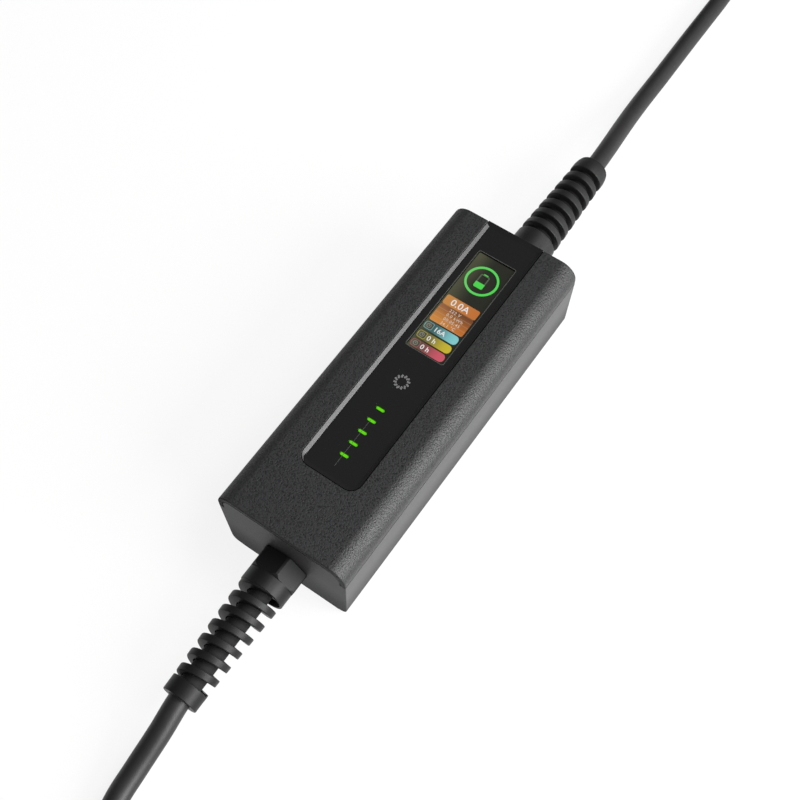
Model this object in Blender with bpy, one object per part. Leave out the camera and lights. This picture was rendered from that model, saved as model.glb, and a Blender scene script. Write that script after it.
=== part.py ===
"""Portable EV charger: an in-cable control box with a colour display, a spiral strain relief and
output cable on one side, and a ribbed strain relief and mains lead on the other.

Metres, +Z up. The origin is the centre of the control box's underside. +Y runs along the box from
the output cable to the mains lead, and +X is the box's right side with the display's foot in front.
"""

import math

import bmesh
import bpy
from mathutils import Matrix, Vector

MM = 0.001

# Clearances
GAP = 0.3 * MM  # between pieces that touch or seat on each other
FINE_GAP = 0.2 * MM  # round light pipes, pins and screws

# Control box
BOX_LENGTH = 216.8 * MM
BOX_WIDTH = 80.0 * MM
BOX_HEIGHT = 57.0 * MM
COVER_HEIGHT = 14.0 * MM  # from the seam on the long sides to the top
SIDE_DRAFT = 2.2 * MM  # how much narrower the base is at its foot, on each side
TOP_ROUND = 10.2 * MM  # width of the cover's rounding
FOOT_RADIUS = 5.0 * MM
BASE_WALL = 2.6 * MM
END_WALL = 3.5 * MM
FLOOR = 2.6 * MM
COVER_WALL = 3.0 * MM
RIB_HEIGHT = 1.6 * MM  # stiffening ribs under the floor's inside
RIB_WIDTH = 1.6 * MM
RIB_COUNT = 4

# Case screws and the posts that hold them
POST_RADIUS = 4.2 * MM
POST_INSET_X = 9.5 * MM  # from the box's side to a post's axis
POST_INSET_Y = 14.0 * MM
SCREW_RADIUS = 1.5 * MM
SCREW_HEAD_RADIUS = 3.0 * MM
SCREW_HEAD_HEIGHT = 2.2 * MM
SCREW_RECESS = 3.4 * MM
SCREW_REACH = 8.0 * MM  # how far a screw goes past the seam

# Front panel in its pocket
POCKET_HALF = 18.25 * MM
POCKET_DEPTH = 2.0 * MM
POCKET_LENGTH = 178.2 * MM  # from the box's far end
POCKET_CORNER = 6.5 * MM
BEZEL_WIDTH = 2.1 * MM  # slope from the cover's top to the panel, bright on the left side
BEZEL_TIP = 0.3 * MM
BEZEL_TURN = 65.0  # degrees of the near left corner that it follows, narrowing to its tip
BEZEL_END = 2.8 * MM  # it stops this far before the cover's far edge
BEZEL_SLANT = 1.0 * MM  # its end runs this much further at its outer side
PANEL_DROP = 1.0 * MM  # the panel's face lies this far below the cover's top
PANEL_RAMP = (3.2 * MM, 0.8 * MM)  # it rises to the cover's top between these, before the far edge
PANEL_AXIS = 0.5 * MM  # the display, the key and the bars are centred on this line

# Display, as it shows through the panel
SCREEN_WIDTH = 23.6 * MM
SCREEN_LENGTH = 71.8 * MM
SCREEN_INSET = 19.2 * MM  # from the box's far end
SCREEN_BODY = 3.2 * MM
FIELD_LIFT = 0.3 * MM  # the lit fields over the screen's face
FIELD_THICK = 0.3 * MM
SCREEN_DROP = 0.9 * MM  # from the panel's face down to the screen's
TILE_WIDTH = 21.0 * MM
TILE_CORNER = 1.0 * MM
GAUGE_UP = 55.7 * MM  # places along the display are measured from its foot
GAUGE_RADIUS = 9.6 * MM
GAUGE_LINE = 1.3 * MM
BATTERY_WIDTH = 5.6 * MM
BATTERY_LENGTH = 9.6 * MM
BATTERY_LINE = 0.6 * MM
HEADER = (32.4 * MM, 38.7 * MM)
READOUT = (20.0 * MM, 32.1 * MM)
CURRENT_BAR = (13.4 * MM, 19.0 * MM)
DELAY_BAR = (6.9 * MM, 12.2 * MM)
TIMER_BAR = (0.7 * MM, 5.9 * MM)
BAR_CORNER = 2.2 * MM

# Charge bars
LED_COUNT = 5
LED_INSET = 15.7 * MM  # from the pocket's near end to the first bar
LED_PITCH = 7.93 * MM
LED_WIDTH = 5.0 * MM
LED_DEPTH = 1.5 * MM

# Touch key: its mark on the panel and the sensor under it
TOUCH_INSET = 20.5 * MM  # from the display's foot
TOUCH_RADIUS = 5.0 * MM
MARK_OUTER = 4.5 * MM
MARK_INNER = 2.9 * MM
MARK_THICK = 0.3 * MM

# Circuit boards and what they carry
BOARD_WIDTH = 58.0 * MM
BOARD_END_ROOM = 25.9 * MM  # from each end wall to the main board
BOARD_THICK = 1.6 * MM
BOARD_LEVEL = 8.0 * MM  # underside of the main board over the box's underside
STANDOFF_RADIUS = 3.0 * MM
STANDOFF_INSET = 4.5 * MM
STANDOFF_PIN_RADIUS = 1.3 * MM  # the pin that locates the board
STANDOFF_PIN_REACH = 1.2 * MM
DISPLAY_BOARD_WIDTH = 30.0 * MM
DISPLAY_BOARD_THICK = 1.2 * MM
DISPLAY_BOARD_START = 9.8 * MM  # past the pocket's near end
DISPLAY_BOARD_OVER = 4.8 * MM  # past the display's far end
RELAY_SIZE = (18.5 * MM, 30.0 * MM, 24.0 * MM)
RELAY_GAP = 3.0 * MM  # between the sensor and the relays
RELAY_X = 16.0 * MM
SUPPLY_SIZE = (24.0 * MM, 38.0 * MM, 18.0 * MM)
SUPPLY_PLACE = (-14.0 * MM, 18.0 * MM)
CAPACITOR_RADIUS = 6.5 * MM
CAPACITOR_HEIGHT = 22.0 * MM
CAPACITOR_PLACE = (-16.0 * MM, -16.0 * MM)
SENSOR_OUTER = 14.5 * MM
SENSOR_INNER = 8.0 * MM
SENSOR_THICK = 11.0 * MM
SENSOR_INSET = 16.5 * MM  # from the output terminals
TERMINAL_SIZE = (34.0 * MM, 12.0 * MM, 13.0 * MM)
TERMINAL_INSET = 13.0 * MM  # from the main board's ends
TERMINAL_WAYS = 3
WIRE_RADIUS = 1.6 * MM

# Output cable, its spiral strain relief and gland
PORT_HEIGHT = 20.0 * MM  # axis of both cable ports over the underside
CABLE_DIAMETER = 12.2 * MM
CABLE_CLEAR = 0.4 * MM  # radial, in the bores that the cables pass through
NUT_ACROSS = 26.2 * MM
NUT_LENGTH = 12.0 * MM
NUT_TURN = 12.0  # degrees, how the nut happens to stand when tight
COLLAR_RADIUS = 13.1 * MM
COLLAR_LENGTH = 8.2 * MM
COLLAR_WALL = 1.3 * MM  # round its open mouth
COLLAR_MOUTH = 3.6 * MM
SPIRAL_TURNS = 7
SPIRAL_PITCH = 8.76 * MM
SPIRAL_THICK = 3.9 * MM
SPIRAL_START_RADIUS = 12.85 * MM
SPIRAL_END_RADIUS = 10.3 * MM
SPIRAL_LEAD = 5.0 * MM  # how far inside the collar the spiral starts
SLEEVE_RADIUS = 10.25 * MM
SLEEVE_LENGTH = 8.8 * MM
SLEEVE_BACK = 1.2 * MM  # past the last turn's start
SPIRAL_SAG = 2.6 * MM  # droop of the spiral's free end
SPIGOT_RADIUS = 10.0 * MM
SPIGOT_IN = 9.0 * MM  # threaded length inside the end wall
SPIGOT_OUT = 9.0 * MM
LOCKNUT_THICK = 4.0 * MM
SHEATH_REACH = 1.0 * MM  # the cable's sheath past the spigot's inner end
SEAL_DEPTH = 6.0 * MM
SEAL_WALL = 1.6 * MM

# Mains lead and its ribbed strain relief
LEAD_DIAMETER = 11.3 * MM
BOOT_BASE_RADIUS = 13.2 * MM
BOOT_NECK_RADIUS = 12.5 * MM
BOOT_TIP_RADIUS = 10.7 * MM
BOOT_BASE_LENGTH = 25.9 * MM
BOOT_GROOVES = 7
BOOT_PITCH = 8.5 * MM
BOOT_GROOVE_WIDTH = 4.0 * MM
BOOT_GROOVE_DEPTH = 3.0 * MM
BOOT_TIP_LENGTH = 10.5 * MM
BOOT_STEM_RADIUS = 9.0 * MM
BOOT_FLANGE_RADIUS = 12.0 * MM
BOOT_FLANGE_THICK = 3.0 * MM

# Hank of the output cable that is put away
HANK_X = -20.0 * MM
HANK_FRONT_Y = -357.0 * MM  # centre of the end nearest to the box
HANK_RUN = 240.0 * MM
HANK_INNER_RADIUS = 36.6 * MM
HANK_COLUMNS = 2
HANK_LAYERS = 3
TIE_WIDTH = 20.0 * MM
TIE_THICK = 1.2 * MM

# Vehicle connector at the end of the output cable
CONNECTOR_Y = -341.0 * MM  # its mating face
CONNECTOR_NOSE_RADIUS = 28.0 * MM
CONNECTOR_NOSE_WALL = 2.4 * MM
CONNECTOR_NOSE_LENGTH = 38.0 * MM
CONNECTOR_NOSE_FLAT = 4.5 * MM  # how far the flat on top cuts into the round
INSERT_RECESS = 3.0 * MM
CAP_WALL = 2.0 * MM
CAP_REACH = 20.0 * MM  # how far the dust cap covers the barrel
GRIP_LENGTH = 112.0 * MM
GRIP_SECTIONS = (
    # share of the grip's length, drop of its centre, half width, half height
    (0.00, 0.0, 30.5, 30.5),
    (0.12, 0.4, 30.0, 30.0),
    (0.30, 3.2, 24.5, 25.5),
    (0.50, 7.0, 19.0, 20.5),
    (0.72, 10.5, 17.5, 18.5),
    (0.90, 13.0, 17.5, 17.5),
    (1.00, 14.0, 16.5, 16.5),
)
CONNECTOR_BOOT_LENGTH = 34.0 * MM
CONNECTOR_BOOT_RADIUS = 12.5 * MM
CONNECTOR_BOOT_TIP = 8.8 * MM
CONNECTOR_BOOT_RINGS = 4

# Mains plug
PLUG_X = -55.0 * MM
PLUG_Y = 392.0 * MM  # its pin face
PLUG_RADIUS = 19.0 * MM
PLUG_FACE_LENGTH = 16.0 * MM
PLUG_BODY_LENGTH = 42.0 * MM
PLUG_TAIL_RADIUS = 9.5 * MM
PLUG_TAIL_LENGTH = 30.0 * MM
PIN_RADIUS = 2.4 * MM
PIN_LENGTH = 19.0 * MM
PIN_SEAT = 9.0 * MM
PIN_SPACING = 19.0 * MM
EARTH_WIDTH = 6.0 * MM
EARTH_DEPTH = 1.6 * MM
EARTH_LENGTH = 13.0 * MM

# Routes of the two cables outside the box, in millimetres
CABLE_ROUTE = (
    (0.9, -212, 13.2), (1.3, -232, 8.3), (2.7, -250, 6.3), (8.5, -269, 6.1),
    (18.5, -289, 6.3), (27.5, -306, 6.8), (32.5, -324, 7.2), (34.9, -345, 7.6),
)
LEAD_ROUTE = (
    (-1.6, 222, 17.0), (-3.7, 240, 12.8), (-5.5, 258, 9.0), (-6.5, 276, 6.6), (-6.7, 297, 5.7),
    (-7.0, 336, 5.7), (-7.0, 375, 5.7), (-7.0, 391, 5.7), (-4.3, 406.5, 5.7), (3.6, 420.1, 5.7),
    (14.2, 429.3, 5.7), (24.8, 438.5, 5.7), (32.7, 452.1, 5.7), (35.4, 467.6, 5.7), (35.4, 482, 5.7),
    (35.4, 496, 5.7), (29.3, 518.6, 5.7), (12.8, 535.1, 5.7), (-9.8, 541.2, 5.7), (-32.4, 535.1, 6.0),
    (-48.9, 518.6, 7.5), (-55, 496, 12.5), (-55, 485, 16.5),
)
ROUTE_STEP = 1.2  # distance between a tube's points, in diameters

# Values that follow from those above
HALF_LENGTH = BOX_LENGTH / 2
HALF_WIDTH = BOX_WIDTH / 2
NEAR_WALL = -HALF_LENGTH
FAR_WALL = HALF_LENGTH
CABLE_RADIUS = CABLE_DIAMETER / 2
LEAD_RADIUS = LEAD_DIAMETER / 2
CABLE_BORE = CABLE_RADIUS + CABLE_CLEAR
LEAD_BORE = LEAD_RADIUS + CABLE_CLEAR
SEAM_HEIGHT = BOX_HEIGHT - COVER_HEIGHT
POCKET_FLOOR = BOX_HEIGHT - POCKET_DEPTH
POCKET_START = FAR_WALL - POCKET_LENGTH
COVER_INNER_TOP = BOX_HEIGHT - COVER_WALL
PANEL_FACE = BOX_HEIGHT - PANEL_DROP
PANEL_BACK = POCKET_FLOOR + GAP
SCREEN_END = FAR_WALL - SCREEN_INSET
SCREEN_START = SCREEN_END - SCREEN_LENGTH
GAUGE_Y = SCREEN_START + GAUGE_UP
LED_FIRST_Y = POCKET_START + LED_INSET
TOUCH_Y = SCREEN_START - TOUCH_INSET
SCREEN_FACE = PANEL_FACE - SCREEN_DROP
BOARD_LENGTH = BOX_LENGTH - 2 * END_WALL - 2 * BOARD_END_ROOM
BOARD_TOP = BOARD_LEVEL + BOARD_THICK
TERMINAL_Y = BOARD_LENGTH / 2 - TERMINAL_INSET
SENSOR_Y = SENSOR_INSET - TERMINAL_Y
RELAY_FIRST_Y = SENSOR_Y + SENSOR_THICK / 2 + RELAY_GAP + RELAY_SIZE[1] / 2
DISPLAY_BOARD_TOP = SCREEN_FACE - SCREEN_BODY - GAP
TOUCH_HEIGHT = COVER_INNER_TOP - DISPLAY_BOARD_TOP - 2 * GAP
WIRE_BORE = WIRE_RADIUS + FINE_GAP
WIRE_LEVEL = BOARD_TOP + GAP + TERMINAL_SIZE[2] * 0.42
SHEATH_NEAR = NEAR_WALL + END_WALL + SPIGOT_IN + SHEATH_REACH
SHEATH_FAR = FAR_WALL - END_WALL - SPIGOT_IN
COLLAR_END = NEAR_WALL - GAP - NUT_LENGTH - COLLAR_LENGTH
SPIRAL_START = COLLAR_END + SPIRAL_LEAD
SLEEVE_START = SPIRAL_START - SPIRAL_TURNS * SPIRAL_PITCH - SLEEVE_BACK
SLEEVE_END = SLEEVE_START - SLEEVE_LENGTH
BOOT_END = FAR_WALL + GAP + BOOT_BASE_LENGTH + BOOT_GROOVES * BOOT_PITCH + BOOT_TIP_LENGTH - (
    BOOT_PITCH - BOOT_GROOVE_WIDTH
)
HANK_LIFT = TIE_THICK + GAP
HANK_OUTER_RADIUS = HANK_INNER_RADIUS + HANK_COLUMNS * CABLE_DIAMETER
HANK_HEIGHT = HANK_LAYERS * CABLE_DIAMETER
HANK_BACK_Y = HANK_FRONT_Y - HANK_RUN
CONNECTOR_AXIS = max(section[3] for section in GRIP_SECTIONS) * MM
GRIP_START = CONNECTOR_Y - CONNECTOR_NOSE_LENGTH
GRIP_END = GRIP_START - GRIP_LENGTH
GRIP_END_AXIS = CONNECTOR_AXIS - GRIP_SECTIONS[-1][1] * MM
CONNECTOR_TAIL_Y = GRIP_END - CONNECTOR_BOOT_LENGTH
PLUG_TAIL_Y = PLUG_Y + PLUG_BODY_LENGTH + PLUG_TAIL_LENGTH


def clear_scene():
    for old in list(bpy.data.objects):
        bpy.data.objects.remove(old, do_unlink=True)


def material(name, colour, roughness, metallic=0.0, glow=0.0):
    mat = bpy.data.materials.new(name)
    mat.use_nodes = True
    shader = mat.node_tree.nodes["Principled BSDF"]
    shader.inputs["Base Color"].default_value = (*colour, 1.0)
    shader.inputs["Roughness"].default_value = roughness
    shader.inputs["Metallic"].default_value = metallic
    if glow:
        shader.inputs["Emission Color"].default_value = (*colour, 1.0)
        shader.inputs["Emission Strength"].default_value = glow
    mat.diffuse_color = (*colour, 1.0)
    return mat


def finish(name, bm, mat, place=(0.0, 0.0, 0.0), turn=None, sharp=35.0):
    """Makes the object from a bmesh, closed and facing out."""
    bmesh.ops.recalc_face_normals(bm, faces=bm.faces)
    mesh = bpy.data.meshes.new(name)
    bm.to_mesh(mesh)
    bm.free()
    mesh.shade_smooth()
    mesh.set_sharp_from_angle(angle=math.radians(sharp))
    obj = bpy.data.objects.new(name, mesh)
    bpy.context.scene.collection.objects.link(obj)
    obj.location = place
    if turn:
        obj.rotation_euler = turn
    if mat:
        mesh.materials.append(mat)
    return obj


def cutter(bm, place=(0.0, 0.0, 0.0), turn=None):
    """A helper solid that only cuts or joins; the build leaves it out."""
    obj = finish("cutter", bm, None, place, turn)
    obj.hide_render = True
    obj.display_type = "WIRE"
    return obj


def combine(obj, other, operation="DIFFERENCE"):
    modifier = obj.modifiers.new(operation.lower(), "BOOLEAN")
    modifier.operation = operation
    modifier.solver = "EXACT"
    modifier.object = other
    return obj


def prism(outline, low, high, axis="y"):
    """A solid of one outline, extruded along an axis. The outline's pairs are (x, z) along y,
    (x, y) along z and (y, z) along x."""
    place = {
        "x": lambda a, b, t: (t, a, b),
        "y": lambda a, b, t: (a, t, b),
        "z": lambda a, b, t: (a, b, t),
    }[axis]
    bm = bmesh.new()
    near = [bm.verts.new(place(a, b, low)) for a, b in outline]
    far = [bm.verts.new(place(a, b, high)) for a, b in outline]
    bm.faces.new(near)
    bm.faces.new(far[::-1])
    for i in range(len(outline)):
        j = (i + 1) % len(outline)
        bm.faces.new((near[i], near[j], far[j], far[i]))
    return bm


def block(size, low_z=None):
    """A box centred on x and y. With low_z it stands on that height, else it is centred there too."""
    x, y, z = (side / 2 for side in size)
    middle = 0.0 if low_z is None else low_z + z
    return prism([(-x, middle - z), (x, middle - z), (x, middle + z), (-x, middle + z)], -y, y)


def arc(centre, radius, start, end, steps):
    """Points of an arc, angles in degrees."""
    return [
        (
            centre[0] + radius * math.cos(math.radians(start + (end - start) * i / steps)),
            centre[1] + radius * math.sin(math.radians(start + (end - start) * i / steps)),
        )
        for i in range(steps + 1)
    ]


def rounded(low, high, radius, steps=4):
    """Outline of a rectangle with round corners, from its low and high corners."""
    (x0, y0), (x1, y1) = low, high
    r = min(radius, (x1 - x0) / 2 - 1e-6, (y1 - y0) / 2 - 1e-6)
    return (
        arc((x1 - r, y1 - r), r, 0, 90, steps)
        + arc((x0 + r, y1 - r), r, 90, 180, steps)
        + arc((x0 + r, y0 + r), r, 180, 270, steps)
        + arc((x1 - r, y0 + r), r, 270, 360, steps)
    )


def turned(profile, segments=32, axis="y"):
    """A solid of revolution from pairs (distance from the axis, place along it). A profile that
    starts and ends on the axis makes a full solid; any other closes on itself as a ring."""
    bm = bmesh.new()
    full = profile[0][0] == 0.0 and profile[-1][0] == 0.0
    rings = []
    for radius, along in profile:
        if radius == 0.0:
            rings.append([bm.verts.new((0.0, along, 0.0))])
            continue
        ring = []
        for i in range(segments):
            angle = 2 * math.pi * i / segments
            ring.append(bm.verts.new((radius * math.cos(angle), along, radius * math.sin(angle))))
        rings.append(ring)
    pairs = list(zip(rings, rings[1:], strict=False))
    if not full:
        pairs.append((rings[-1], rings[0]))
    for one, two in pairs:
        for i in range(segments):
            j = (i + 1) % segments
            if len(one) == 1:
                bm.faces.new((one[0], two[j], two[i]))
            elif len(two) == 1:
                bm.faces.new((one[i], one[j], two[0]))
            else:
                bm.faces.new((one[i], one[j], two[j], two[i]))
    if axis == "z":
        bmesh.ops.rotate(bm, verts=bm.verts, matrix=Matrix.Rotation(math.radians(90), 3, "X"))
    return bm


def between(a, b, c, d, share):
    """A point on the smooth curve from b to c, with a and d as its neighbours."""
    t0 = 0.0
    t1 = t0 + math.sqrt((b - a).length)
    t2 = t1 + math.sqrt((c - b).length)
    t3 = t2 + math.sqrt((d - c).length)
    t = t1 + (t2 - t1) * share
    first = a * ((t1 - t) / (t1 - t0)) + b * ((t - t0) / (t1 - t0))
    second = b * ((t2 - t) / (t2 - t1)) + c * ((t - t1) / (t2 - t1))
    third = c * ((t3 - t) / (t3 - t2)) + d * ((t - t2) / (t3 - t2))
    low = first * ((t2 - t) / (t2 - t0)) + second * ((t - t0) / (t2 - t0))
    high = second * ((t3 - t) / (t3 - t1)) + third * ((t - t1) / (t3 - t1))
    return low * ((t2 - t) / (t2 - t1)) + high * ((t - t1) / (t2 - t1))


def smooth_route(points, step):
    """Points along the smooth curve through a route, about a step apart."""
    route = [Vector(p) for p in points]
    ends = [2 * route[0] - route[1], *route, 2 * route[-1] - route[-2]]
    fine = []
    for a, b, c, d in zip(ends, ends[1:], ends[2:], ends[3:], strict=False):
        fine += [between(a, b, c, d, i / 16) for i in range(16)]
    fine.append(route[-1])
    lengths = [0.0]
    for one, two in zip(fine, fine[1:], strict=False):
        lengths.append(lengths[-1] + (two - one).length)
    count = max(2, round(lengths[-1] / step))
    kept, place = [], 0
    for i in range(count + 1):
        wanted = lengths[-1] * i / count
        while place < len(fine) - 2 and lengths[place + 1] < wanted:
            place += 1
        share = (wanted - lengths[place]) / max(lengths[place + 1] - lengths[place], 1e-9)
        kept.append(fine[place].lerp(fine[place + 1], share))
    return kept


def trimmed(points, room):
    """The points of a cable up to where its end seats on another piece. The room is measured for a
    point and the direction of the cable there."""
    kept = [points[0]]
    for one, two in zip(points, points[1:], strict=False):
        direction = (two - one).normalized()
        if room(two, direction) > GAP:
            kept.append(two)
            continue
        low, high = 0.0, 1.0
        for _ in range(16):
            middle = (low + high) / 2
            if room(one.lerp(two, middle), direction) > GAP:
                low = middle
            else:
                high = middle
        kept.append(one.lerp(two, low))
        break
    return kept


def tube(name, points, radius, mat, resolution=3):
    """A plain round cable along its points."""
    curve = bpy.data.curves.new(name, "CURVE")
    curve.dimensions = "3D"
    curve.bevel_depth = radius
    curve.bevel_resolution = resolution
    curve.use_fill_caps = True
    spline = curve.splines.new("POLY")
    spline.points.add(len(points) - 1)
    for point, place in zip(spline.points, points, strict=True):
        point.co = (*place, 1.0)
    curve.materials.append(mat)
    obj = bpy.data.objects.new(name, curve)
    bpy.context.scene.collection.objects.link(obj)
    return obj


def hexagon(across, turn=0.0):
    """Outline of a nut from its width across flats, turned by an angle in degrees."""
    corner = across / 2 / math.cos(math.radians(30))
    return arc((0.0, 0.0), corner, turn, turn + 300, 5)


def top_arc(inset, steps=8):
    """The cover's section from its right edge over the top to its left edge, inset from outside."""
    centre = (HALF_WIDTH - TOP_ROUND, BOX_HEIGHT - TOP_ROUND)
    right = [(HALF_WIDTH - inset, SEAM_HEIGHT), *arc(centre, TOP_ROUND - inset, 0, 90, steps)]
    left = [(-x, z) for x, z in reversed(right)]
    return right + left


def base_section():
    """The base's outline below the seam, from its left edge round the foot to its right edge."""
    foot = HALF_WIDTH - SIDE_DRAFT
    lean = math.degrees(math.atan2(SIDE_DRAFT, SEAM_HEIGHT))
    r = FOOT_RADIUS
    right = arc((foot - r + SIDE_DRAFT * r / SEAM_HEIGHT, r), r, -90, -lean, 5)
    left = [(-x, z) for x, z in reversed(right)]
    return [(-HALF_WIDTH, SEAM_HEIGHT), *left, *right, (HALF_WIDTH, SEAM_HEIGHT)]


def post_places():
    x = HALF_WIDTH - POST_INSET_X
    y = HALF_LENGTH - POST_INSET_Y
    return [(sx * x, sy * y) for sy in (-1, 1) for sx in (-1, 1)]


def standoff_places():
    x = BOARD_WIDTH / 2 - STANDOFF_INSET
    y = BOARD_LENGTH / 2 - STANDOFF_INSET
    return [(sx * x, sy * y) for sy in (-1, 1) for sx in (-1, 1)]


def make_base(mat):
    """The lower tub: drafted side walls, flat end walls that rise into the cover's arch, screw
    towers, board standoffs and the two cable ports."""
    outline = base_section() + top_arc(COVER_WALL + GAP)
    base = finish("base_tub", prism(outline, NEAR_WALL, FAR_WALL), mat)
    inner = HALF_WIDTH - BASE_WALL
    foot = inner - SIDE_DRAFT
    cavity = [(-foot, FLOOR), (foot, FLOOR), (inner, SEAM_HEIGHT), (inner, BOX_HEIGHT),
              (-inner, BOX_HEIGHT), (-inner, SEAM_HEIGHT)]
    ends = HALF_LENGTH - END_WALL
    combine(base, cutter(prism(cavity, -ends, ends)))
    above = prism([(-BOX_WIDTH, SEAM_HEIGHT), (BOX_WIDTH, SEAM_HEIGHT), (BOX_WIDTH, 2 * BOX_HEIGHT),
                   (-BOX_WIDTH, 2 * BOX_HEIGHT)], -ends, ends)
    combine(base, cutter(above))
    for x, y in post_places():
        tower = turned([(0.0, FLOOR / 2), (POST_RADIUS, FLOOR / 2), (POST_RADIUS, SEAM_HEIGHT),
                        (0.0, SEAM_HEIGHT)], 16, "z")
        combine(base, cutter(tower, (x, y, 0)), "UNION")
    for x, y in standoff_places():
        top = BOARD_TOP + STANDOFF_PIN_REACH
        stand = turned([(0.0, FLOOR / 2), (STANDOFF_RADIUS, FLOOR / 2),
                        (STANDOFF_RADIUS, BOARD_LEVEL - GAP),
                        (STANDOFF_PIN_RADIUS, BOARD_LEVEL - GAP), (STANDOFF_PIN_RADIUS, top),
                        (0.0, top)], 12, "z")
        combine(base, cutter(stand, (x, y, 0)), "UNION")
    for i in range(RIB_COUNT):
        y = (i + 0.5) / RIB_COUNT * BOARD_LENGTH * 0.8 - BOARD_LENGTH * 0.4
        rib = block((2 * foot, RIB_WIDTH, RIB_HEIGHT + FLOOR / 2), FLOOR / 2)
        combine(base, cutter(rib, (0, y, 0)), "UNION")
    for x, y in post_places():
        bore = SCREW_RADIUS + FINE_GAP
        head = SCREW_HEAD_RADIUS + GAP
        well = turned([(0.0, -FLOOR), (head, -FLOOR), (head, SCREW_RECESS), (bore, SCREW_RECESS),
                       (bore, BOX_HEIGHT), (0.0, BOX_HEIGHT)], 16, "z")
        combine(base, cutter(well, (x, y, 0)))
    ports = ((NEAR_WALL, SPIGOT_RADIUS), (FAR_WALL, BOOT_STEM_RADIUS))
    for wall, radius in ports:
        port = turned([(0.0, -2 * END_WALL), (radius + GAP, -2 * END_WALL),
                       (radius + GAP, 2 * END_WALL), (0.0, 2 * END_WALL)], 32)
        combine(base, cutter(port, (0, wall, PORT_HEIGHT)))
    return base


def make_cover(mat):
    """The arched cover: one moulded shell with the panel's pocket, the display window, the slots
    of the charge bars and four screw posts."""
    outer = top_arc(0.0)
    inner = top_arc(COVER_WALL)
    lift = GAP
    outer = [(outer[0][0], SEAM_HEIGHT + lift), *[p for p in outer if p[1] > SEAM_HEIGHT + lift],
             (outer[-1][0], SEAM_HEIGHT + lift)]
    inner = [(inner[0][0], SEAM_HEIGHT + lift), *[p for p in inner if p[1] > SEAM_HEIGHT + lift],
             (inner[-1][0], SEAM_HEIGHT + lift)]
    cover = finish("cover", prism(outer + inner[::-1], NEAR_WALL, FAR_WALL), mat)
    for x, y in post_places():
        post = turned([(0.0, SEAM_HEIGHT + lift), (POST_RADIUS - GAP, SEAM_HEIGHT + lift),
                       (POST_RADIUS - GAP, BOX_HEIGHT - COVER_WALL / 2),
                       (0.0, BOX_HEIGHT - COVER_WALL / 2)], 16, "z")
        combine(cover, cutter(post, (x, y, 0)), "UNION")
    for x, y in post_places():
        bore = SCREW_RADIUS + FINE_GAP
        top = SEAM_HEIGHT + SCREW_REACH + 2 * GAP
        pilot = turned([(0.0, 0.0), (bore, 0.0), (bore, top), (0.0, top)], 12, "z")
        combine(cover, cutter(pilot, (x, y, 0)))
    pocket = prism(pocket_outline(0.0, FAR_WALL + GAP), POCKET_FLOOR, BOX_HEIGHT + COVER_WALL, "z")
    combine(cover, cutter(pocket))
    window = screen_outline(2 * GAP, 1.0 * MM)
    combine(cover, cutter(prism(window, COVER_INNER_TOP - COVER_WALL, BOX_HEIGHT, "z")))
    for y in led_places():
        slot = led_outline(y, FINE_GAP)
        combine(cover, cutter(prism(slot, COVER_INNER_TOP - COVER_WALL, BOX_HEIGHT, "z")))
    return cover


def pocket_corner(side, inset, start=0.0, end=90.0):
    """One of the pocket's round near corners, left (-1) or right (1), kept inside it by an inset.
    The angles are measured along it from its left end."""
    centre = (side * (POCKET_HALF - POCKET_CORNER), POCKET_START + POCKET_CORNER)
    first = 180 if side < 0 else 270
    return arc(centre, POCKET_CORNER - inset, first + start, first + end, 6)


def pocket_outline(inset, end):
    """The pocket in plan: a long tongue with round near corners, kept inside it by an inset."""
    half = POCKET_HALF - inset
    return [(half, end), (-half, end), *pocket_corner(-1, inset), *pocket_corner(1, inset)]


def bezel_widths():
    """The bezel's width at each step round the near left corner, where it narrows to its tip."""
    return [BEZEL_WIDTH + (BEZEL_TIP - BEZEL_WIDTH) * i / 6 for i in range(7)]


def bezel_edge(inset):
    """The bezel's inner edge round the near left corner."""
    centre = (POCKET_CORNER - POCKET_HALF, POCKET_START + POCKET_CORNER)
    points = []
    for i, width in enumerate(bezel_widths()):
        angle = math.radians(180 + BEZEL_TURN * i / 6)
        radius = POCKET_CORNER - GAP - width - inset
        points.append((centre[0] + radius * math.cos(angle), centre[1] + radius * math.sin(angle)))
    return points


def screen_outline(clear, corner):
    """The display's outline, grown or shrunk on every side."""
    half = SCREEN_WIDTH / 2 + clear
    return rounded((PANEL_AXIS - half, SCREEN_START - clear),
                   (PANEL_AXIS + half, SCREEN_END + clear), corner, 2)


def led_places():
    return [LED_FIRST_Y + i * LED_PITCH for i in range(LED_COUNT)]


def led_outline(y, clear=0.0):
    half, depth = LED_WIDTH / 2 + clear, LED_DEPTH / 2 + clear
    return rounded((PANEL_AXIS - half, y - depth), (PANEL_AXIS + half, y + depth), depth * 0.8, 3)


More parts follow.
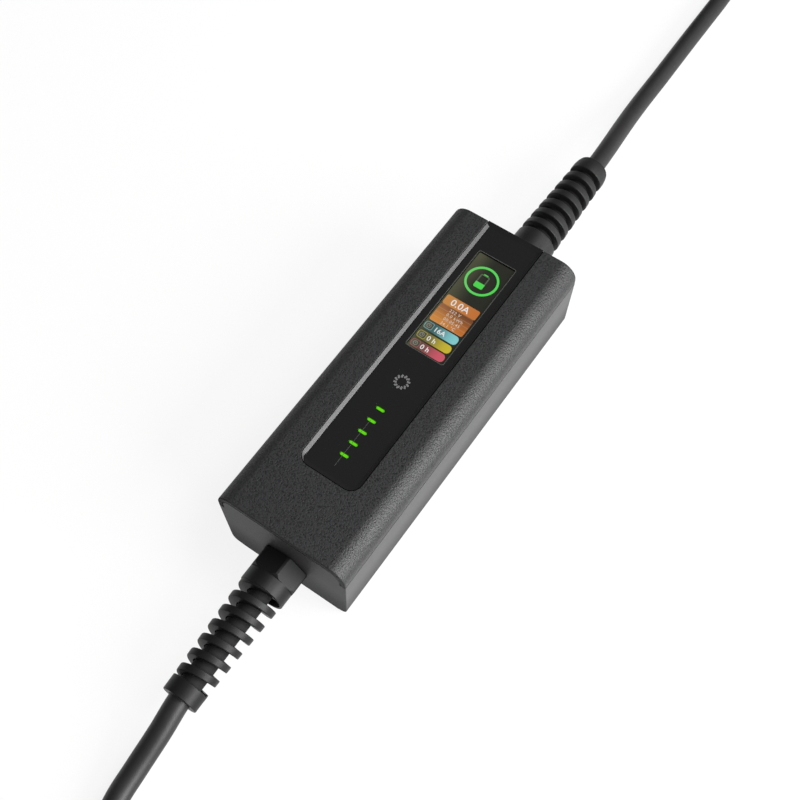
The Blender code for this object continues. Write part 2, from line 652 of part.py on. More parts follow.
def make_panel(mat):
    """The black front panel, cut out for the display and the charge bars. It fills the pocket
    beside and past the bezel. Its near and right edges slope up to the cover's top as the bezel
    does, and so does its far end."""
    left = GAP - POCKET_HALF
    stop = FAR_WALL - BEZEL_END + GAP
    outline = [(POCKET_HALF - GAP, FAR_WALL), (left, FAR_WALL), (left, stop + BEZEL_SLANT),
               (left + BEZEL_WIDTH + GAP, stop), *bezel_edge(GAP),
               *pocket_corner(-1, GAP, BEZEL_TURN + 6), *pocket_corner(1, GAP)]
    panel = finish("front_panel", prism(outline, PANEL_BACK, BOX_HEIGHT, "z"), mat)
    foot, crest = (FAR_WALL - room for room in PANEL_RAMP)
    lines = ((pocket_outline(GAP + BEZEL_WIDTH, foot), PANEL_FACE),
             (pocket_outline(GAP, crest), BOX_HEIGHT - GAP / 3),
             (pocket_outline(GAP, crest), BOX_HEIGHT + COVER_WALL))
    bm = bmesh.new()
    rows = [[bm.verts.new((x, y, z)) for x, y in line] for line, z in lines]
    for one, two in zip(rows, rows[1:], strict=False):
        for i in range(len(one)):
            j = (i + 1) % len(one)
            bm.faces.new((one[i], one[j], two[j], two[i]))
    bm.faces.new(rows[0])
    bm.faces.new(rows[-1][::-1])
    combine(panel, cutter(bm))
    combine(panel, cutter(prism(screen_outline(0.0, 0.8 * MM), POCKET_FLOOR - GAP, BOX_HEIGHT, "z")))
    for y in led_places():
        combine(panel, cutter(prism(led_outline(y, FINE_GAP), POCKET_FLOOR - GAP, BOX_HEIGHT, "z")))
    return panel


def make_bezel(mat):
    """The bright bevel between the pocket's left wall and the panel. It slopes down to the panel,
    has a slanted far end and narrows to a tip round the near corner."""
    stop = FAR_WALL - BEZEL_END
    left = GAP - POCKET_HALF
    crest = BOX_HEIGHT - GAP / 3
    outside = [(left, stop + BEZEL_SLANT), *pocket_corner(-1, GAP, 0.0, BEZEL_TURN)]
    inside = [(left + BEZEL_WIDTH, stop), *bezel_edge(0.0)]
    slope = (PANEL_DROP - 2 * GAP / 3) / BEZEL_WIDTH
    heights = [crest - slope * width for width in (BEZEL_WIDTH, *bezel_widths())]
    bm = bmesh.new()
    rows = [
        [bm.verts.new((x, y, PANEL_BACK)) for x, y in outside],
        [bm.verts.new((x, y, crest)) for x, y in outside],
        [bm.verts.new((x, y, z)) for (x, y), z in zip(inside, heights, strict=True)],
        [bm.verts.new((x, y, PANEL_BACK)) for x, y in inside],
    ]
    for one, two in zip(rows, rows[1:] + rows[:1], strict=True):
        for i in range(len(one) - 1):
            bm.faces.new((one[i], one[i + 1], two[i + 1], two[i]))
    bm.faces.new([row[0] for row in rows])
    bm.faces.new([row[-1] for row in rows][::-1])
    return finish("panel_bezel", bm, mat)


def make_touch_mark(mat):
    """The ring on the panel that marks the touch key."""
    ring = turned([(MARK_INNER, 0.0), (MARK_OUTER, 0.0), (MARK_OUTER, MARK_THICK),
                   (MARK_INNER, MARK_THICK)], 32, "z")
    return finish("touch_mark", ring, mat, (PANEL_AXIS, TOUCH_Y, PANEL_FACE + FINE_GAP))


def field(name, outline, mat):
    """One lit area of the display, a thin tile just over the screen's face."""
    low = SCREEN_FACE + FIELD_LIFT
    return finish(name, prism(outline, low, low + FIELD_THICK, "z"), mat)


def make_display(mats):
    """The display module and its lit areas, as shapes of plain colour."""
    low = SCREEN_FACE - SCREEN_BODY
    finish("display_module", prism(screen_outline(-GAP, 0.6 * MM), low, SCREEN_FACE, "z"),
           mats["screen"])
    ring = turned([(GAUGE_RADIUS - GAUGE_LINE, 0.0), (GAUGE_RADIUS, 0.0),
                   (GAUGE_RADIUS, FIELD_THICK), (GAUGE_RADIUS - GAUGE_LINE, FIELD_THICK)], 48, "z")
    finish("display_gauge_ring", ring, mats["green"],
           (PANEL_AXIS, GAUGE_Y, SCREEN_FACE + FIELD_LIFT))
    battery = field("display_battery", battery_outline(), mats["green"])
    half = BATTERY_WIDTH / 2 - BATTERY_LINE
    hole = prism(rounded((PANEL_AXIS - half, GAUGE_Y - BATTERY_LENGTH / 8),
                         (PANEL_AXIS + half, GAUGE_Y + BATTERY_LENGTH / 2 - 2 * BATTERY_LINE),
                         0.3 * MM, 2),
                 SCREEN_FACE, BOX_HEIGHT, "z")
    combine(battery, cutter(hole))
    tile = TILE_WIDTH / 2
    fields = (
        ("display_header", HEADER, TILE_CORNER, "orange"),
        ("display_readout", READOUT, TILE_CORNER, "amber"),
        ("display_current_bar", CURRENT_BAR, BAR_CORNER, "blue"),
        ("display_delay_bar", DELAY_BAR, BAR_CORNER, "yellow"),
        ("display_timer_bar", TIMER_BAR, BAR_CORNER, "red"),
    )
    for name, (foot, head), corner, colour in fields:
        outline = rounded((PANEL_AXIS - tile, SCREEN_START + foot),
                          (PANEL_AXIS + tile, SCREEN_START + head), corner, 3)
        field(name, outline, mats[colour])


def battery_outline():
    """A battery's sign: a round-cornered body with its cap."""
    half, length = BATTERY_WIDTH / 2, BATTERY_LENGTH / 2
    cap = half * 0.45
    body_top = GAUGE_Y + length - BATTERY_LINE
    low = GAUGE_Y - length
    r = 0.7 * MM
    outline = [
        (cap, body_top), (cap, GAUGE_Y + length), (-cap, GAUGE_Y + length), (-cap, body_top),
        *arc((-half + r, body_top - r), r, 90, 180, 2),
        *arc((-half + r, low + r), r, 180, 270, 2),
        *arc((half - r, low + r), r, 270, 360, 2),
        *arc((half - r, body_top - r), r, 0, 90, 2),
    ]
    return [(PANEL_AXIS + x, y) for x, y in outline]


def make_charge_bars(mat):
    """Light pipes of the charge bars, from the display board up to the panel's face."""
    low = DISPLAY_BOARD_TOP + GAP
    for number, y in enumerate(led_places(), 1):
        bar = prism(led_outline(y), low, PANEL_FACE - GAP / 3, "z")
        finish(f"charge_bar_{number}", bar, mat)


def make_boards(mats):
    """The main board with its parts, and the display board with the touch sensor."""
    x, y = BOARD_WIDTH / 2, BOARD_LENGTH / 2
    board = finish("main_board", prism(rounded((-x, -y), (x, y), 2.0 * MM, 2), BOARD_LEVEL,
                                       BOARD_TOP, "z"), mats["board"])
    for px, py in standoff_places():
        bore = STANDOFF_PIN_RADIUS + FINE_GAP
        hole = turned([(0.0, 0.0), (bore, 0.0), (bore, BOX_HEIGHT), (0.0, BOX_HEIGHT)], 12, "z")
        combine(board, cutter(hole, (px, py, 0)))
    x = DISPLAY_BOARD_WIDTH / 2
    low = DISPLAY_BOARD_TOP - DISPLAY_BOARD_THICK
    outline = rounded((PANEL_AXIS - x, POCKET_START + DISPLAY_BOARD_START),
                      (PANEL_AXIS + x, SCREEN_END + DISPLAY_BOARD_OVER), 1.5 * MM, 2)
    finish("display_board", prism(outline, low, DISPLAY_BOARD_TOP, "z"), mats["board"])
    touch = turned([(0.0, 0.0), (TOUCH_RADIUS, 0.0), (TOUCH_RADIUS, TOUCH_HEIGHT * 0.4),
                    (TOUCH_RADIUS * 0.7, TOUCH_HEIGHT), (0.0, TOUCH_HEIGHT)], 24, "z")
    finish("touch_sensor", touch, mats["copper"], (PANEL_AXIS, TOUCH_Y, DISPLAY_BOARD_TOP + GAP))
    for number in (1, 2):
        y = RELAY_FIRST_Y + (number - 1) * (RELAY_SIZE[1] + RELAY_GAP)
        relay = rounded((-RELAY_SIZE[0] / 2, -RELAY_SIZE[1] / 2), (RELAY_SIZE[0] / 2,
                                                                  RELAY_SIZE[1] / 2), 1.0 * MM, 2)
        low = BOARD_TOP + GAP
        finish(f"relay_{number}", prism(relay, low, low + RELAY_SIZE[2], "z"), mats["relay"],
               (RELAY_X, y, 0))
    x, y = (side / 2 for side in SUPPLY_SIZE[:2])
    supply = prism(rounded((-x, -y), (x, y), 1.5 * MM, 2), BOARD_TOP + GAP,
                   BOARD_TOP + GAP + SUPPLY_SIZE[2], "z")
    finish("power_supply", supply, mats["case"], (*SUPPLY_PLACE, 0))
    can = turned([(0.0, 0.0), (CAPACITOR_RADIUS, 0.0), (CAPACITOR_RADIUS, CAPACITOR_HEIGHT * 0.96),
                  (CAPACITOR_RADIUS * 0.92, CAPACITOR_HEIGHT), (0.0, CAPACITOR_HEIGHT)], 24, "z")
    finish("capacitor", can, mats["sleeve"], (*CAPACITOR_PLACE, BOARD_TOP + GAP))
    half = SENSOR_THICK / 2
    sensor = turned([(SENSOR_INNER, -half), (SENSOR_OUTER, -half), (SENSOR_OUTER, half),
                     (SENSOR_INNER, half)], 32)
    finish("fault_current_sensor", sensor, mats["sensor"],
           (0, SENSOR_Y, BOARD_TOP + GAP + SENSOR_OUTER))
    for side, name in ((-1, "output_terminals"), (1, "supply_terminals")):
        x, y, z = TERMINAL_SIZE
        low = BOARD_TOP + GAP
        terminals = finish(name, block(TERMINAL_SIZE, low), mats["terminal"],
                           (0, side * TERMINAL_Y, 0))
        for way in range(TERMINAL_WAYS):
            at = (way - (TERMINAL_WAYS - 1) / 2) * x / TERMINAL_WAYS
            hole = turned([(0.0, -y), (WIRE_BORE, -y), (WIRE_BORE, 0.0), (0.0, 0.0)], 12)
            place = (at, side * TERMINAL_Y + (y / 6 if side > 0 else -y / 6), WIRE_LEVEL)
            turn = (0.0, 0.0, math.pi) if side > 0 else None
            combine(terminals, cutter(hole, place, turn))


def make_wires(mats):
    """The cores of each cable, from its cut sheath to the terminals."""
    spread = TERMINAL_SIZE[0] / TERMINAL_WAYS
    sheath = (SHEATH_NEAR, SHEATH_FAR)
    for side, name, start in ((-1, "output_wire", sheath[0]), (1, "supply_wire", sheath[1])):
        seat = side * (TERMINAL_Y + TERMINAL_SIZE[1] / 2 - TERMINAL_SIZE[1] / 4)
        bend = side * (TERMINAL_Y + TERMINAL_SIZE[1] * 0.9)
        for way, colour in enumerate(("brown", "earth", "blue")):
            at = (way - 1) * spread
            close = (way - 1) * 2.15 * WIRE_RADIUS
            route = (
                (close, start - side * 2 * GAP, PORT_HEIGHT),
                (close, start - side * 2 * WIRE_RADIUS, PORT_HEIGHT),
                ((at + close) / 2, (start + bend) / 2, (PORT_HEIGHT + WIRE_LEVEL) / 2),
                (at, bend, WIRE_LEVEL),
                (at, seat, WIRE_LEVEL),
            )
            tube(f"{name}_{way + 1}", smooth_route(route, 5.0 * MM), WIRE_RADIUS, mats[colour], 1)


def make_case_screws(mat):
    for number, (x, y) in enumerate(post_places(), 1):
        head = SCREW_RECESS - GAP
        top = SEAM_HEIGHT + SCREW_REACH
        low = head - SCREW_HEAD_HEIGHT
        screw = turned([(0.0, low + 1.0 * MM), (SCREW_HEAD_RADIUS * 0.5, low + 1.0 * MM),
                        (SCREW_HEAD_RADIUS * 0.5, low), (SCREW_HEAD_RADIUS, low),
                        (SCREW_HEAD_RADIUS, head), (SCREW_RADIUS, head), (SCREW_RADIUS, top - MM),
                        (SCREW_RADIUS * 0.4, top), (0.0, top)], 12, "z")
        finish(f"case_screw_{number}", screw, mat, (x, y, 0))


def sag(y):
    """How far the spiral's centre line has drooped at a place along it."""
    share = max(0.0, (COLLAR_END - y) / (COLLAR_END - SLEEVE_END))
    return SPIRAL_SAG * share**2


def droop(bm):
    """Bends a piece that lies on the port's axis so that its free end droops."""
    for vert in bm.verts:
        vert.co.z -= sag(vert.co.y)
    return bm


def spiral_rib():
    """The open coil round the cable: one flat rib, wound from the collar to the sleeve."""
    steps = 24
    bm = bmesh.new()
    inner = CABLE_BORE + GAP
    chamfer = 0.5 * MM
    rows = []
    for i in range(SPIRAL_TURNS * steps + 1):
        angle = 2 * math.pi * i / steps
        share = i / (SPIRAL_TURNS * steps)
        outer = SPIRAL_START_RADIUS + (SPIRAL_END_RADIUS - SPIRAL_START_RADIUS) * share
        y = SPIRAL_START - SPIRAL_PITCH * i / steps
        section = (
            (inner, y), (outer - chamfer, y), (outer, y - chamfer),
            (outer, y - SPIRAL_THICK + chamfer), (outer - chamfer, y - SPIRAL_THICK),
            (inner, y - SPIRAL_THICK),
        )
        rows.append([
            bm.verts.new((r * math.cos(angle), at, r * math.sin(angle))) for r, at in section
        ])
    for one, two in zip(rows, rows[1:], strict=False):
        for i in range(len(one)):
            j = (i + 1) % len(one)
            bm.faces.new((one[i], one[j], two[j], two[i]))
    bm.faces.new(rows[0])
    bm.faces.new(rows[-1][::-1])
    return bm


def make_spiral_gland(mats):
    """The output cable's gland: spigot and lock nut through the end wall, a rubber seal, and the
    dome nut that carries the spiral strain relief in one moulding."""
    back = NEAR_WALL - GAP
    hollow = SPIGOT_RADIUS + GAP
    hollow_end = back - SPIGOT_OUT - GAP
    nut_outline = hexagon(NUT_ACROSS, NUT_TURN)
    nut = finish("spiral_strain_relief", prism(nut_outline, back - NUT_LENGTH, back),
                 mats["nylon"], (0, 0, PORT_HEIGHT), sharp=30.0)
    corner = NUT_ACROSS / 2 / math.cos(math.radians(30))
    edge = 0.7 * MM
    front = back - NUT_LENGTH - GAP
    dome = turned([(0.0, back + GAP), (corner - edge, back + GAP), (corner - edge / 2, back - edge),
                   (corner - edge / 2, front + 2 * edge), (corner - 2 * edge, front), (0.0, front)],
                  48)
    combine(nut, cutter(dome, (0, 0, PORT_HEIGHT)), "INTERSECT")
    collar = turned([(0.0, back - NUT_LENGTH / 2), (COLLAR_RADIUS, back - NUT_LENGTH / 2),
                     (COLLAR_RADIUS, COLLAR_END + 0.6 * MM), (COLLAR_RADIUS - 0.6 * MM, COLLAR_END),
                     (0.0, COLLAR_END)], 40)
    combine(nut, cutter(collar, (0, 0, PORT_HEIGHT)), "UNION")
    mouth_radius = COLLAR_RADIUS - COLLAR_WALL
    mouth = turned([(0.0, COLLAR_END + COLLAR_MOUTH), (mouth_radius - edge, COLLAR_END + COLLAR_MOUTH),
                    (mouth_radius, COLLAR_END), (mouth_radius, COLLAR_END - GAP),
                    (0.0, COLLAR_END - GAP)], 40)
    combine(nut, cutter(mouth, (0, 0, PORT_HEIGHT)))
    combine(nut, cutter(droop(spiral_rib()), (0, 0, PORT_HEIGHT)), "UNION")
    edge = 0.5 * MM
    sleeve = turned([(0.0, SLEEVE_START), (SLEEVE_RADIUS, SLEEVE_START),
                     (SLEEVE_RADIUS - 0.1 * MM, SLEEVE_END + edge),
                     (SLEEVE_RADIUS - 0.1 * MM - edge, SLEEVE_END), (0.0, SLEEVE_END)], 40)
    combine(nut, cutter(droop(sleeve), (0, 0, PORT_HEIGHT)), "UNION")
    bore_rings = [(0.0, back + GAP), (hollow, back + GAP), (hollow, hollow_end)]
    count = 12
    for i in range(count + 1):
        bore_rings.append((CABLE_BORE, hollow_end + (SLEEVE_END - GAP - hollow_end) * i / count))
    bore_rings.append((0.0, SLEEVE_END - GAP))
    bore = droop(turned(bore_rings, 24))
    combine(nut, cutter(bore, (0, 0, PORT_HEIGHT)))

    inside = NEAR_WALL + END_WALL
    spigot_end = back - SPIGOT_OUT
    seat = CABLE_BORE + SEAL_WALL
    body = turned([(CABLE_BORE, inside + SPIGOT_IN), (SPIGOT_RADIUS, inside + SPIGOT_IN),
                   (SPIGOT_RADIUS, spigot_end), (seat + GAP, spigot_end),
                   (seat + GAP, spigot_end + SEAL_DEPTH + GAP),
                   (CABLE_BORE, spigot_end + SEAL_DEPTH + GAP)], 32)
    finish("gland_spigot", body, mats["nylon"], (0, 0, PORT_HEIGHT))
    grip = CABLE_BORE - GAP / 3
    seal = turned([(grip, spigot_end), (seat, spigot_end), (seat, spigot_end + SEAL_DEPTH),
                   (grip, spigot_end + SEAL_DEPTH)], 28)
    finish("gland_seal", seal, mats["rubber"], (0, 0, PORT_HEIGHT))
    near = inside + GAP
    locknut = finish("gland_locknut", prism(nut_outline, near, near + LOCKNUT_THICK),
                     mats["nylon"], (0, 0, PORT_HEIGHT))
    hole = turned([(0.0, near - MM), (SPIGOT_RADIUS + FINE_GAP, near - MM),
                   (SPIGOT_RADIUS + FINE_GAP, near + LOCKNUT_THICK + MM),
                   (0.0, near + LOCKNUT_THICK + MM)], 32)
    combine(locknut, cutter(hole, (0, 0, PORT_HEIGHT)))


def make_ribbed_boot(mats):
    """The mains lead's moulded strain relief: a smooth base, ribs between narrow grooves, a plain
    tip, and a stem through the end wall with a flange behind it."""
    face = FAR_WALL + GAP
    inner = FAR_WALL - END_WALL - GAP
    profile = [(LEAD_BORE, inner - BOOT_FLANGE_THICK), (BOOT_FLANGE_RADIUS, inner - BOOT_FLANGE_THICK),
               (BOOT_FLANGE_RADIUS, inner), (BOOT_STEM_RADIUS, inner), (BOOT_STEM_RADIUS, face),
               (BOOT_BASE_RADIUS, face)]
    soft = 0.4 * MM
    ribs = BOOT_PITCH - BOOT_GROOVE_WIDTH
    for i in range(BOOT_GROOVES):
        share = i / (BOOT_GROOVES - 1)
        radius = BOOT_NECK_RADIUS + (BOOT_TIP_RADIUS - BOOT_NECK_RADIUS) * share
        start = face + BOOT_BASE_LENGTH + i * BOOT_PITCH
        end = start + BOOT_GROOVE_WIDTH
        floor = radius - BOOT_GROOVE_DEPTH
        profile += [(radius - soft, start), (floor, start + soft), (floor, end - soft),
                    (radius - soft, end)]
        if i < BOOT_GROOVES - 1:
            profile.append((radius, end + ribs / 2))
    tip = BOOT_TIP_RADIUS
    profile += [(tip, BOOT_END - BOOT_TIP_LENGTH + ribs), (tip - 0.5 * MM, BOOT_END - 3.0 * MM),
                (tip - 1.2 * MM, BOOT_END - 0.8 * MM), (tip - 2.2 * MM, BOOT_END),
                (LEAD_BORE, BOOT_END)]
    finish("ribbed_strain_relief", turned(profile, 28), mats["boot"], (0, 0, PORT_HEIGHT), sharp=30.0)


def make_cables(mats):
    """Both cables, as plain tubes on their routes."""
    inside = [(0, SHEATH_NEAR, PORT_HEIGHT), (0, NEAR_WALL - NUT_LENGTH, PORT_HEIGHT),
              (0, COLLAR_END, PORT_HEIGHT)]
    for share in (0.35, 0.7, 1.0):
        y = COLLAR_END + (SLEEVE_END - COLLAR_END) * share
        inside.append((0, y, PORT_HEIGHT - sag(y)))
    route = inside + [tuple(v * MM for v in p) for p in CABLE_ROUTE]
    points = smooth_route(route, ROUTE_STEP * CABLE_DIAMETER)
    centre = Vector((HANK_X, HANK_FRONT_Y, 0))

    def room(point, direction):
        out = Vector((point.x, point.y, 0)) - centre
        lean = math.sqrt(1 - direction.dot(out.normalized()) ** 2)
        return out.length - HANK_OUTER_RADIUS - CABLE_RADIUS * lean

    tube("output_cable", trimmed(points, room), CABLE_RADIUS, mats["jacket"])
    ends = [(0, SHEATH_FAR, PORT_HEIGHT), (0, FAR_WALL + BOOT_BASE_LENGTH, PORT_HEIGHT),
            (0, BOOT_END - LEAD_DIAMETER, PORT_HEIGHT), (0, BOOT_END, PORT_HEIGHT)]
    route = ends + [tuple(v * MM for v in p) for p in LEAD_ROUTE]
    level = PLUG_RADIUS + GAP / 3
    route += [(PLUG_X, PLUG_TAIL_Y + LEAD_DIAMETER, level),
              (PLUG_X, PLUG_TAIL_Y + LEAD_RADIUS, level), (PLUG_X, PLUG_TAIL_Y + GAP, level)]
    tube("mains_lead", smooth_route(route, ROUTE_STEP * LEAD_DIAMETER), LEAD_RADIUS, mats["jacket"])


def stadium(radius, steps=12):
    """Outline of the hank in plan: two half circles joined by the straight runs."""
    return (
        arc((HANK_X, HANK_FRONT_Y), radius, 0, 180, steps)
        + arc((HANK_X, HANK_BACK_Y), radius, 180, 360, steps)
    )


def make_hank(mats):
    """The output cable that is put away, as one solid of the hank's outer shape, and its two ties."""
    top = HANK_LIFT + HANK_HEIGHT
    hank = finish("output_cable_hank", prism(stadium(HANK_OUTER_RADIUS), HANK_LIFT, top, "z"),
                  mats["jacket"])
    combine(hank, cutter(prism(stadium(HANK_INNER_RADIUS), -HANK_LIFT, 2 * top, "z")))
    middle = (HANK_FRONT_Y + HANK_BACK_Y) / 2
    x0, x1 = HANK_INNER_RADIUS - GAP, HANK_OUTER_RADIUS + GAP
    z0, z1 = HANK_LIFT - GAP, top + GAP
    for side, name in ((1, "hank_tie_right"), (-1, "hank_tie_left")):
        outer = rounded((x0 - TIE_THICK, z0 - TIE_THICK), (x1 + TIE_THICK, z1 + TIE_THICK), 3.0 * MM, 3)
        tie = finish(name, prism([(side * x, z) for x, z in outer], -TIE_WIDTH / 2, TIE_WIDTH / 2),
                     mats["strap"], (HANK_X, middle, 0))
        hole = prism([(side * x, z) for x, z in rounded((x0, z0), (x1, z1), 0.5 * MM, 2)],
                     -TIE_WIDTH, TIE_WIDTH)
        combine(tie, cutter(hole, (HANK_X, middle, 0)))


def grip_section(share_at, drop, half_width, half_height, steps=24):
    """One cross section of the connector's grip, a squarish oval."""
    y = GRIP_START - share_at * GRIP_LENGTH
    power = 2.4
    points = []
    for i in range(steps):
        angle = 2 * math.pi * i / steps
        c, s = math.cos(angle), math.sin(angle)
        x = half_width * MM * math.copysign(abs(c) ** (2 / power), c)
        z = half_height * MM * math.copysign(abs(s) ** (2 / power), s)
        points.append((HANK_X + x, y, CONNECTOR_AXIS - drop * MM + z))
    return points


def grip_body():
    bm = bmesh.new()
    rows = [[bm.verts.new(p) for p in grip_section(*section)] for section in GRIP_SECTIONS]
    for one, two in zip(rows, rows[1:], strict=False):
        for i in range(len(one)):
            j = (i + 1) % len(one)
            bm.faces.new((one[i], one[j], two[j], two[i]))
    bm.faces.new(rows[0])
    bm.faces.new(rows[-1][::-1])
    return bm


def nose_outline(radius, flat, steps=36):
    """The connector's barrel: round, with a flat along its top."""
    top = radius - flat
    return [(x, min(z, top)) for x, z in arc((0.0, 0.0), radius, 0, 360 - 360 / steps, steps - 1)]


def make_connector(mats):
    """The vehicle connector: two grip shells, a barrel with its contact block under a dust cap, and a
    strain relief."""
    place = (HANK_X, 0, CONNECTOR_AXIS)
    outer = nose_outline(CONNECTOR_NOSE_RADIUS, CONNECTOR_NOSE_FLAT)
    barrel = finish("connector_barrel", prism(outer, GRIP_START + GAP, CONNECTOR_Y), mats["nylon"],
                    place)
    inner = nose_outline(CONNECTOR_NOSE_RADIUS - CONNECTOR_NOSE_WALL, CONNECTOR_NOSE_FLAT)
    combine(barrel, cutter(prism(inner, GRIP_START + CONNECTOR_NOSE_WALL, CONNECTOR_Y + GAP), place))
    block_outline = nose_outline(CONNECTOR_NOSE_RADIUS - CONNECTOR_NOSE_WALL - GAP, CONNECTOR_NOSE_FLAT)
    face = CONNECTOR_Y - INSERT_RECESS
    finish("connector_contact_block",
           prism(block_outline, GRIP_START + CONNECTOR_NOSE_WALL + GAP, face), mats["contact"], place)
    seat = CONNECTOR_NOSE_RADIUS + GAP
    cap_outer = nose_outline(seat + CAP_WALL, CONNECTOR_NOSE_FLAT)
    start, front = CONNECTOR_Y - CAP_REACH, CONNECTOR_Y + GAP + CAP_WALL
    cap = finish("connector_dust_cap", prism(cap_outer, start, front), mats["rubber"], place)
    cap_inner = nose_outline(seat, CONNECTOR_NOSE_FLAT)
    combine(cap, cutter(prism(cap_inner, start - CAP_WALL, CONNECTOR_Y + GAP), place))
    big = GRIP_LENGTH
    for side, name in ((1, "connector_grip_right"), (-1, "connector_grip_left")):
        shell = finish(name, grip_body(), mats["grip"], sharp=45.0)
        low, high = sorted((HANK_X + side * GAP / 2, HANK_X + side * big))
        keep = prism([(low, -big), (high, -big), (high, big), (low, big)], GRIP_END - MM,
                     GRIP_START + MM)
        combine(shell, cutter(keep), "INTERSECT")
    boot_end = GRIP_END - GAP
    profile = [(0.0, boot_end)]
    steps = CONNECTOR_BOOT_RINGS
    length = CONNECTOR_BOOT_LENGTH - GAP
    for i in range(steps):
        radius = CONNECTOR_BOOT_RADIUS + (CONNECTOR_BOOT_TIP - CONNECTOR_BOOT_RADIUS) * i / steps
        start = boot_end - length * i / steps
        end = boot_end - length * (i + 0.65) / steps
        profile += [(radius, start), (radius * 0.97, end), (radius * 0.84, end)]
        if i < steps - 1:
            profile.append((radius * 0.82, boot_end - length * (i + 1) / steps))
    profile += [(profile[-1][0], boot_end - length), (0.0, boot_end - length)]
    finish("connector_strain_relief", turned(profile, 28), mats["rubber"],
           (HANK_X, 0, GRIP_END_AXIS), sharp=30.0)
    start = CONNECTOR_TAIL_Y - GAP
    back = HANK_BACK_Y
    level = HANK_LIFT + CABLE_RADIUS
    column = HANK_X - HANK_INNER_RADIUS - CABLE_RADIUS
    route = [(HANK_X, start, GRIP_END_AXIS),
             (HANK_X, start - CABLE_RADIUS, GRIP_END_AXIS),
             (HANK_X, start - CABLE_DIAMETER, GRIP_END_AXIS),
             (HANK_X * 0.5 + column * 0.5, (start + back) / 2, (GRIP_END_AXIS + level) / 2),
             (column + CABLE_DIAMETER / 3, back + CABLE_DIAMETER, level),
             (column, back, level)]
    points = smooth_route(route, ROUTE_STEP * CABLE_DIAMETER / 2)

    def room(point, direction):
        lean = math.sqrt(1 - direction.x**2)
        return point.x - (HANK_X - HANK_INNER_RADIUS) - CABLE_RADIUS * lean

    tube("output_cable_tail", trimmed(points, room), CABLE_RADIUS, mats["jacket"])


def make_plug(mats):
    """The mains plug: round body with two pins and earth contacts at its sides."""
    face, body = PLUG_Y, PLUG_BODY_LENGTH
    axis = PLUG_RADIUS + GAP / 3
    tail = PLUG_TAIL_RADIUS
    profile = [(0.0, face), (PLUG_RADIUS - 0.8 * MM, face), (PLUG_RADIUS, face + 0.8 * MM),
               (PLUG_RADIUS, face + PLUG_FACE_LENGTH), (PLUG_RADIUS * 0.94, face + PLUG_FACE_LENGTH + MM),
               (PLUG_RADIUS * 0.90, face + body * 0.62), (PLUG_RADIUS * 0.74, face + body * 0.86),
               (tail + 1.2 * MM, face + body)]
    rings = 4
    for i in range(rings):
        start = face + body + PLUG_TAIL_LENGTH * (i + 0.35) / rings
        end = face + body + PLUG_TAIL_LENGTH * (i + 0.62) / rings
        radius = tail - (tail - LEAD_RADIUS - 1.2 * MM) * i / rings
        profile += [(radius, start), (radius - MM, start + 0.3 * MM), (radius - MM, end - 0.3 * MM),
                    (radius, end)]
    profile += [(LEAD_RADIUS + 1.6 * MM, PLUG_TAIL_Y), (0.0, PLUG_TAIL_Y)]
    plug = finish("plug_body", turned(profile, 24), mats["grip"], (PLUG_X, 0, axis), sharp=30.0)
    for side, name in ((-1, "plug_pin_left"), (1, "plug_pin_right")):
        x = PLUG_X + side * PIN_SPACING / 2
        bore = PIN_RADIUS + FINE_GAP
        hole = turned([(0.0, face - MM), (bore, face - MM), (bore, face + PIN_SEAT),
                       (0.0, face + PIN_SEAT)], 16)
        combine(plug, cutter(hole, (x, 0, axis)))
        pin = turned([(0.0, face - PIN_LENGTH), (PIN_RADIUS * 0.6, face - PIN_LENGTH),
                      (PIN_RADIUS, face - PIN_LENGTH + 1.4 * MM), (PIN_RADIUS, face + PIN_SEAT - GAP),
                      (0.0, face + PIN_SEAT - GAP)], 16)
        finish(name, pin, mats["nickel"], (x, 0, axis))
    for side, name in ((1, "plug_earth_top"), (-1, "plug_earth_bottom")):
        slot = block((EARTH_WIDTH + 2 * FINE_GAP, EARTH_LENGTH, 2 * EARTH_DEPTH + 2 * GAP))
        combine(plug, cutter(slot, (PLUG_X, face + EARTH_LENGTH / 2 - MM, axis + side * PLUG_RADIUS)))
        low = PLUG_RADIUS - EARTH_DEPTH
        strip = prism([(-EARTH_WIDTH / 2, low), (EARTH_WIDTH / 2, low),
                       (EARTH_WIDTH / 2, PLUG_RADIUS - 0.5 * MM), (-EARTH_WIDTH / 2,
                                                                    PLUG_RADIUS - 0.5 * MM)],
                      face, face + EARTH_LENGTH - MM - GAP)
        finish(name, strip, mats["nickel"], (PLUG_X, 0, axis),
               None if side > 0 else (0.0, math.pi, 0.0))


